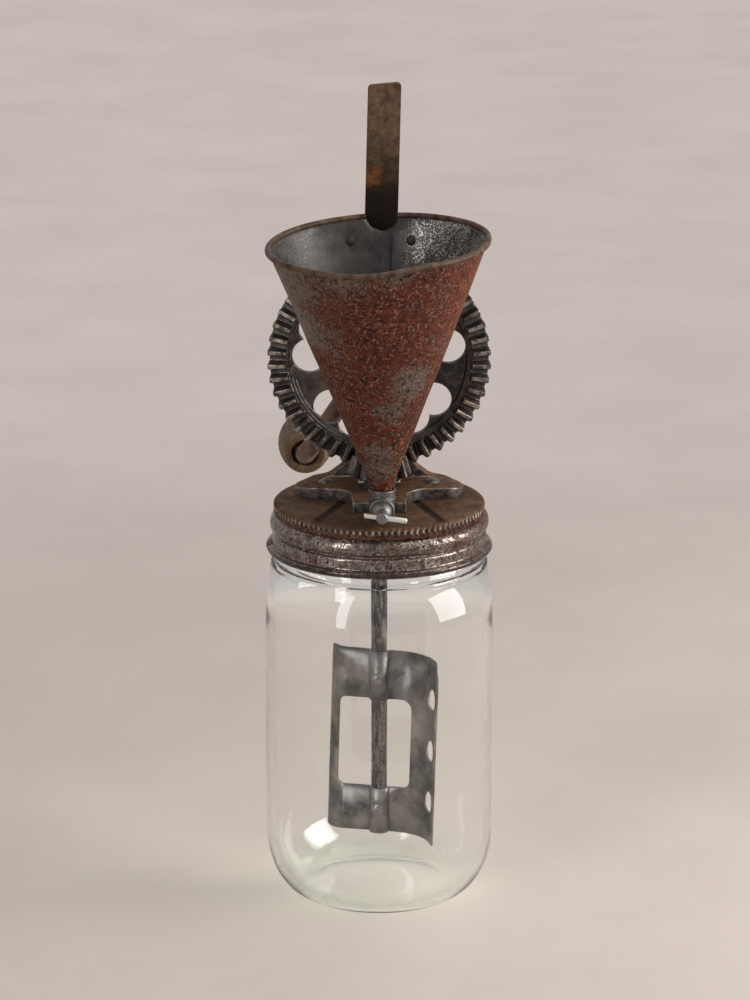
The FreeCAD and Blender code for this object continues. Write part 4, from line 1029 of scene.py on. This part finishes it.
class MIXER_OT_paddle(MixerOperator, bpy.types.Operator):
    """Model the pressed sheet paddle with its channel, window, holed wing and rounded corner"""

    bl_idname = "mixer.paddle"
    bl_label = "Paddle"

    channel = 3.5
    half = math.pi * channel / 2
    right_flat, right_bend, right_sweep = 8.0, 16.3, math.radians(80)
    left_flat, left_bend, left_sweep = 13.0, 8.0, math.radians(58)
    window_left, window_right = -18.2, 14.6
    window_low, window_high = 18.2, 18.8
    hole_pitch, hole_inset = 20.5, 6.6
    hole_width, hole_height = 3.6, 4.2
    turn = math.radians(-12.0)
    lean = 2.2
    sheet = 0.9
    strips = 90

    def plan(self, along):
        """Point of the bent sheet's middle line at a length from the channel's middle, in mm."""
        if abs(along) < self.half:
            angle = along / self.channel
            return Vector((self.channel * math.sin(angle), -self.channel * math.cos(angle)))
        flat, bend, side = ((self.right_flat, self.right_bend, 1) if along > 0
                            else (self.left_flat, self.left_bend, -1))
        run = abs(along) - self.half + self.channel
        angle = max(0.0, run - flat) / bend
        across = min(run, flat) + bend * math.sin(angle)
        return Vector((side * across, -side * bend * (1 - math.cos(angle))))

    def rounded(self, corners):
        """Outline of (u, z, radius) corners, each turned into an arc."""
        points = []
        for index, (u, z, radius) in enumerate(corners):
            here = Vector((u, z))
            before = (Vector(corners[index - 1][:2]) - here).normalized() * radius
            after = (Vector(corners[(index + 1) % len(corners)][:2]) - here).normalized() * radius
            for step in range(9):
                angle = math.pi / 2 * step / 8
                points.append(tuple(here + before * (1 - math.sin(angle)) + after * (1 - math.cos(angle))))
        return points

    def flat_sheet(self, left, right, bottom, top):
        """Unbent sheet in the x-z plane, with its window and holes, cut into upright strips."""
        low, high = bottom + self.window_low, top - self.window_high
        loops = [
            self.rounded([(left, bottom, 1.5), (right, bottom, 1.2), (right, top, 7.0), (left, top, 1.0)]),
            self.rounded([(self.window_left, low, 3.0), (self.window_right, low, 3.0),
                          (self.window_right, high, 4.5), (self.window_left, high, 3.0)])]
        for step in (-1, 0, 1):
            middle = (right - self.hole_inset, (bottom + top) / 2 + self.hole_pitch * step)
            loops.append(arc(middle, (self.hole_width, self.hole_height), [11.25 * a for a in range(32)]))
        bm = bmesh.new()
        edges = []
        for loop in loops:
            edges += closed_loop(bm, [(u, 0, z) for u, z in loop])
        bmesh.ops.triangle_fill(bm, use_beauty=True, edges=edges, normal=(0, -1, 0))
        for step in range(1, self.strips):
            spot = left + (right - left) * step / self.strips
            bmesh.ops.bisect_plane(bm, geom=bm.verts[:] + bm.edges[:] + bm.faces[:], dist=1e-5,
                                   plane_co=(spot, 0, 0), plane_no=(1, 0, 0))
        return bm

    def build(self, sizes, colours):
        low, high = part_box("paddle")
        bottom, top = low.z / MM, high.z / MM
        right = self.half + self.right_flat - self.channel + self.right_bend * self.right_sweep
        left = -(self.half + self.left_flat - self.channel + self.left_bend * self.left_sweep)
        bm = self.flat_sheet(left, right, bottom, top)
        turn = Matrix.Rotation(self.turn, 2)
        for vert in bm.verts:
            flat = turn @ self.plan(vert.co.x)
            wing = clamped((abs(vert.co.x) - self.half) / 6.0)
            lean = self.lean * wing * (vert.co.z - (bottom + top) / 2) / (top - bottom)
            vert.co = Vector((flat.x + lean, flat.y, vert.co.z)) * MM
        bmesh.ops.recalc_face_normals(bm, faces=bm.faces)
        steel = satin_steel("paddle_satin_steel", (0.045, 0.041, 0.038), (0.26, 0.24, 0.225), 0.85, 0.34)
        sheet = keep_piece("paddle_sheet", bm, "beater", [steel], ("paddle",))
        thicken(sheet, self.sheet, 0.0)
        rivet = satin_steel("paddle_rivet_steel", (0.12, 0.112, 0.105), (0.50, 0.47, 0.44), 0.9, 0.3)
        paint(rivet, "paddle_rivets")


class MIXER_OT_beater(MixerOperator, bpy.types.Operator):
    """Finish the shaft and its collar, the rivets, washers and pins, the bush and the seal"""

    bl_idname = "mixer.beater"
    bl_label = "Beater and fixings"

    def build(self, sizes, colours):
        paint(pitted_steel(), "beater_shaft", "shaft_collar")
        paint(satin_steel("rivet_worn_steel", (0.13, 0.105, 0.09), (0.33, 0.29, 0.26), 0.8, 0.42),
              "frame_rivets", "strap_rivets", "plug_washer", "gear_pin", "axle_washer", "spindle_washer")
        paint(satin_steel("rivet_dark_tin", (0.014, 0.013, 0.012), (0.045, 0.041, 0.038), 0.5, 0.62),
              "funnel_rivets")
        paint(satin_steel("pin_bright_steel", (0.34, 0.32, 0.30), (0.62, 0.59, 0.56), 0.95, 0.32),
              "pinion_pin")
        paint(satin_steel("bush_dull_brass", (0.19, 0.13, 0.055), (0.36, 0.26, 0.12), 0.9, 0.4), "shaft_bush")
        paint(seal_rubber(), "lid_gasket")


class MIXER_OT_stage(MixerOperator, bpy.types.Operator):
    """Set the pale floor, the soft lamps, the sky and the camera"""

    bl_idname = "mixer.stage"
    bl_label = "Stage"

    # Name, place, width, height, watts and colour
    lamps = (("window_right", (0.98, -0.14, 0.48), 0.70, 0.75, 14.5, (1.0, 0.965, 0.93)),
             ("strip_left", (-0.62, -0.74, 0.56), 0.20, 1.05, 4.4, (0.98, 0.985, 1.0)),
             ("sky_above", (0.25, 0.15, 1.35), 1.0, 1.0, 5.0, (1.0, 0.985, 0.965)))
    lamp_aim = (0, 0, 0.16)
    sky_colour = (0.90, 0.86, 0.825, 1.0)
    sky_light, sky_seen = 0.28, 0.62
    camera_place = (-1.6 * MM, -1500.0 * MM, 584.2 * MM)
    camera_down = 15.96
    focal_length, sensor_width, view_end = 148.7, 36.0, 20.0
    floor_half = 8.0
    floor_near, floor_far = 0.16, 0.75
    # Seen through glass the backdrop is made brighter by this factor: painted haze of light in the jar
    painted_haze_through_glass = 1.18

    def build(self, sizes, colours):
        scene = bpy.context.scene
        scene.view_settings.view_transform = "Standard"
        self.floor(colours)
        for settings in self.lamps:
            self.lamp(*settings)
        world = bpy.data.worlds.new("studio")
        world.use_nodes = True
        sky = world.node_tree.nodes["Background"]
        sky.inputs["Color"].default_value = self.sky_colour
        nodes = Nodes(world.node_tree)
        level = nodes.ramped(nodes.rays_seen(), 0.0, 1.0, self.sky_light, self.sky_seen)
        world.node_tree.links.new(level, sky.inputs["Strength"])
        scene.world = world
        lens = bpy.data.cameras.new("camera")
        lens.lens = self.focal_length
        lens.sensor_width = self.sensor_width
        lens.clip_end = self.view_end
        camera = bpy.data.objects.new("camera", lens)
        camera.location = self.camera_place
        camera.rotation_euler = (math.radians(90.0 - self.camera_down), 0.0, 0.0)
        scene.collection.objects.link(camera)
        scene.camera = camera

    def lamp(self, name, place, width, height, power, colour):
        """Soft rectangular lamp that looks at the middle of the mixer."""
        light = bpy.data.lights.new(name, "AREA")
        light.shape = "RECTANGLE"
        light.size = width
        light.size_y = height
        light.energy = power
        light.color = colour
        holder = bpy.data.objects.new(name, light)
        holder.location = place
        aim = Vector(self.lamp_aim) - Vector(place)
        holder.rotation_euler = aim.to_track_quat("-Z", "Y").to_euler()
        bpy.context.scene.collection.objects.link(holder)

    def floor(self, colours):
        """Flat floor; away from the mixer it shows its own even colour, so it is its own backdrop."""
        bm = bmesh.new()
        bmesh.ops.create_grid(bm, x_segments=8, y_segments=8, size=self.floor_half)
        mesh = bpy.data.meshes.new("floor")
        bm.to_mesh(mesh)
        bm.free()
        mat = Finish("floor_pale_cloth")
        cloth = mat.toned(mat.grain(9.0, 4.0), 0.3, 0.7, colours.backdrop, 0.96, 1.03)
        mat.feed(Base_Color=cloth, Roughness=0.95)
        # Painted light: rays through glass see the cloth brighter, standing in for the glass's haze and
        # reflections
        through = mat.add("ShaderNodeLightPath").outputs["Is Transmission Ray"]
        glow = mat.ramped(through, 0.0, 1.0, 1.0, self.painted_haze_through_glass)
        even = mat.add("ShaderNodeEmission", {"Color": cloth, "Strength": glow})
        away = mat.add("ShaderNodeVectorMath", {0: mat.place}, operation="LENGTH").outputs["Value"]
        mat.show_mix(mat.times(mat.ramped(away, self.floor_near, self.floor_far), mat.rays_seen()), even)
        mesh.materials.append(mat.material)
        floor = bpy.data.objects.new("floor", mesh)
        bpy.context.scene.collection.objects.link(floor)


PIECE_OPERATORS = (MIXER_OT_stage, MIXER_OT_jar, MIXER_OT_lid, MIXER_OT_funnel, MIXER_OT_stopcock,
                   MIXER_OT_drive, MIXER_OT_casting, MIXER_OT_grip, MIXER_OT_paddle, MIXER_OT_beater)


class MIXER_PT_sidebar(bpy.types.Panel):
    """Lists the mixer's settings and pieces"""

    bl_idname = "MIXER_PT_sidebar"
    bl_label = "Jar mixer"
    bl_space_type = "VIEW_3D"
    bl_region_type = "UI"
    bl_category = "Mixer"

    def draw(self, context):
        layout = self.layout
        for group in (context.scene.mixer_sizes, context.scene.mixer_colours):
            for key in group.__annotations__:
                layout.prop(group, key)
        for operator in PIECE_OPERATORS:
            layout.operator(operator.bl_idname)


CLASSES = (MixerSizes, MixerColours) + PIECE_OPERATORS + (MIXER_PT_sidebar,)


def register():
    for made in CLASSES:
        bpy.utils.register_class(made)
    bpy.types.Scene.mixer_sizes = bpy.props.PointerProperty(type=MixerSizes)
    bpy.types.Scene.mixer_colours = bpy.props.PointerProperty(type=MixerColours)


def unregister():
    del bpy.types.Scene.mixer_colours
    del bpy.types.Scene.mixer_sizes
    for made in reversed(CLASSES):
        bpy.utils.unregister_class(made)


def main():
    register()
    for operator in PIECE_OPERATORS:
        getattr(bpy.ops.mixer, operator.bl_idname.split(".")[1])()


if __name__ == "__main__":
    main()
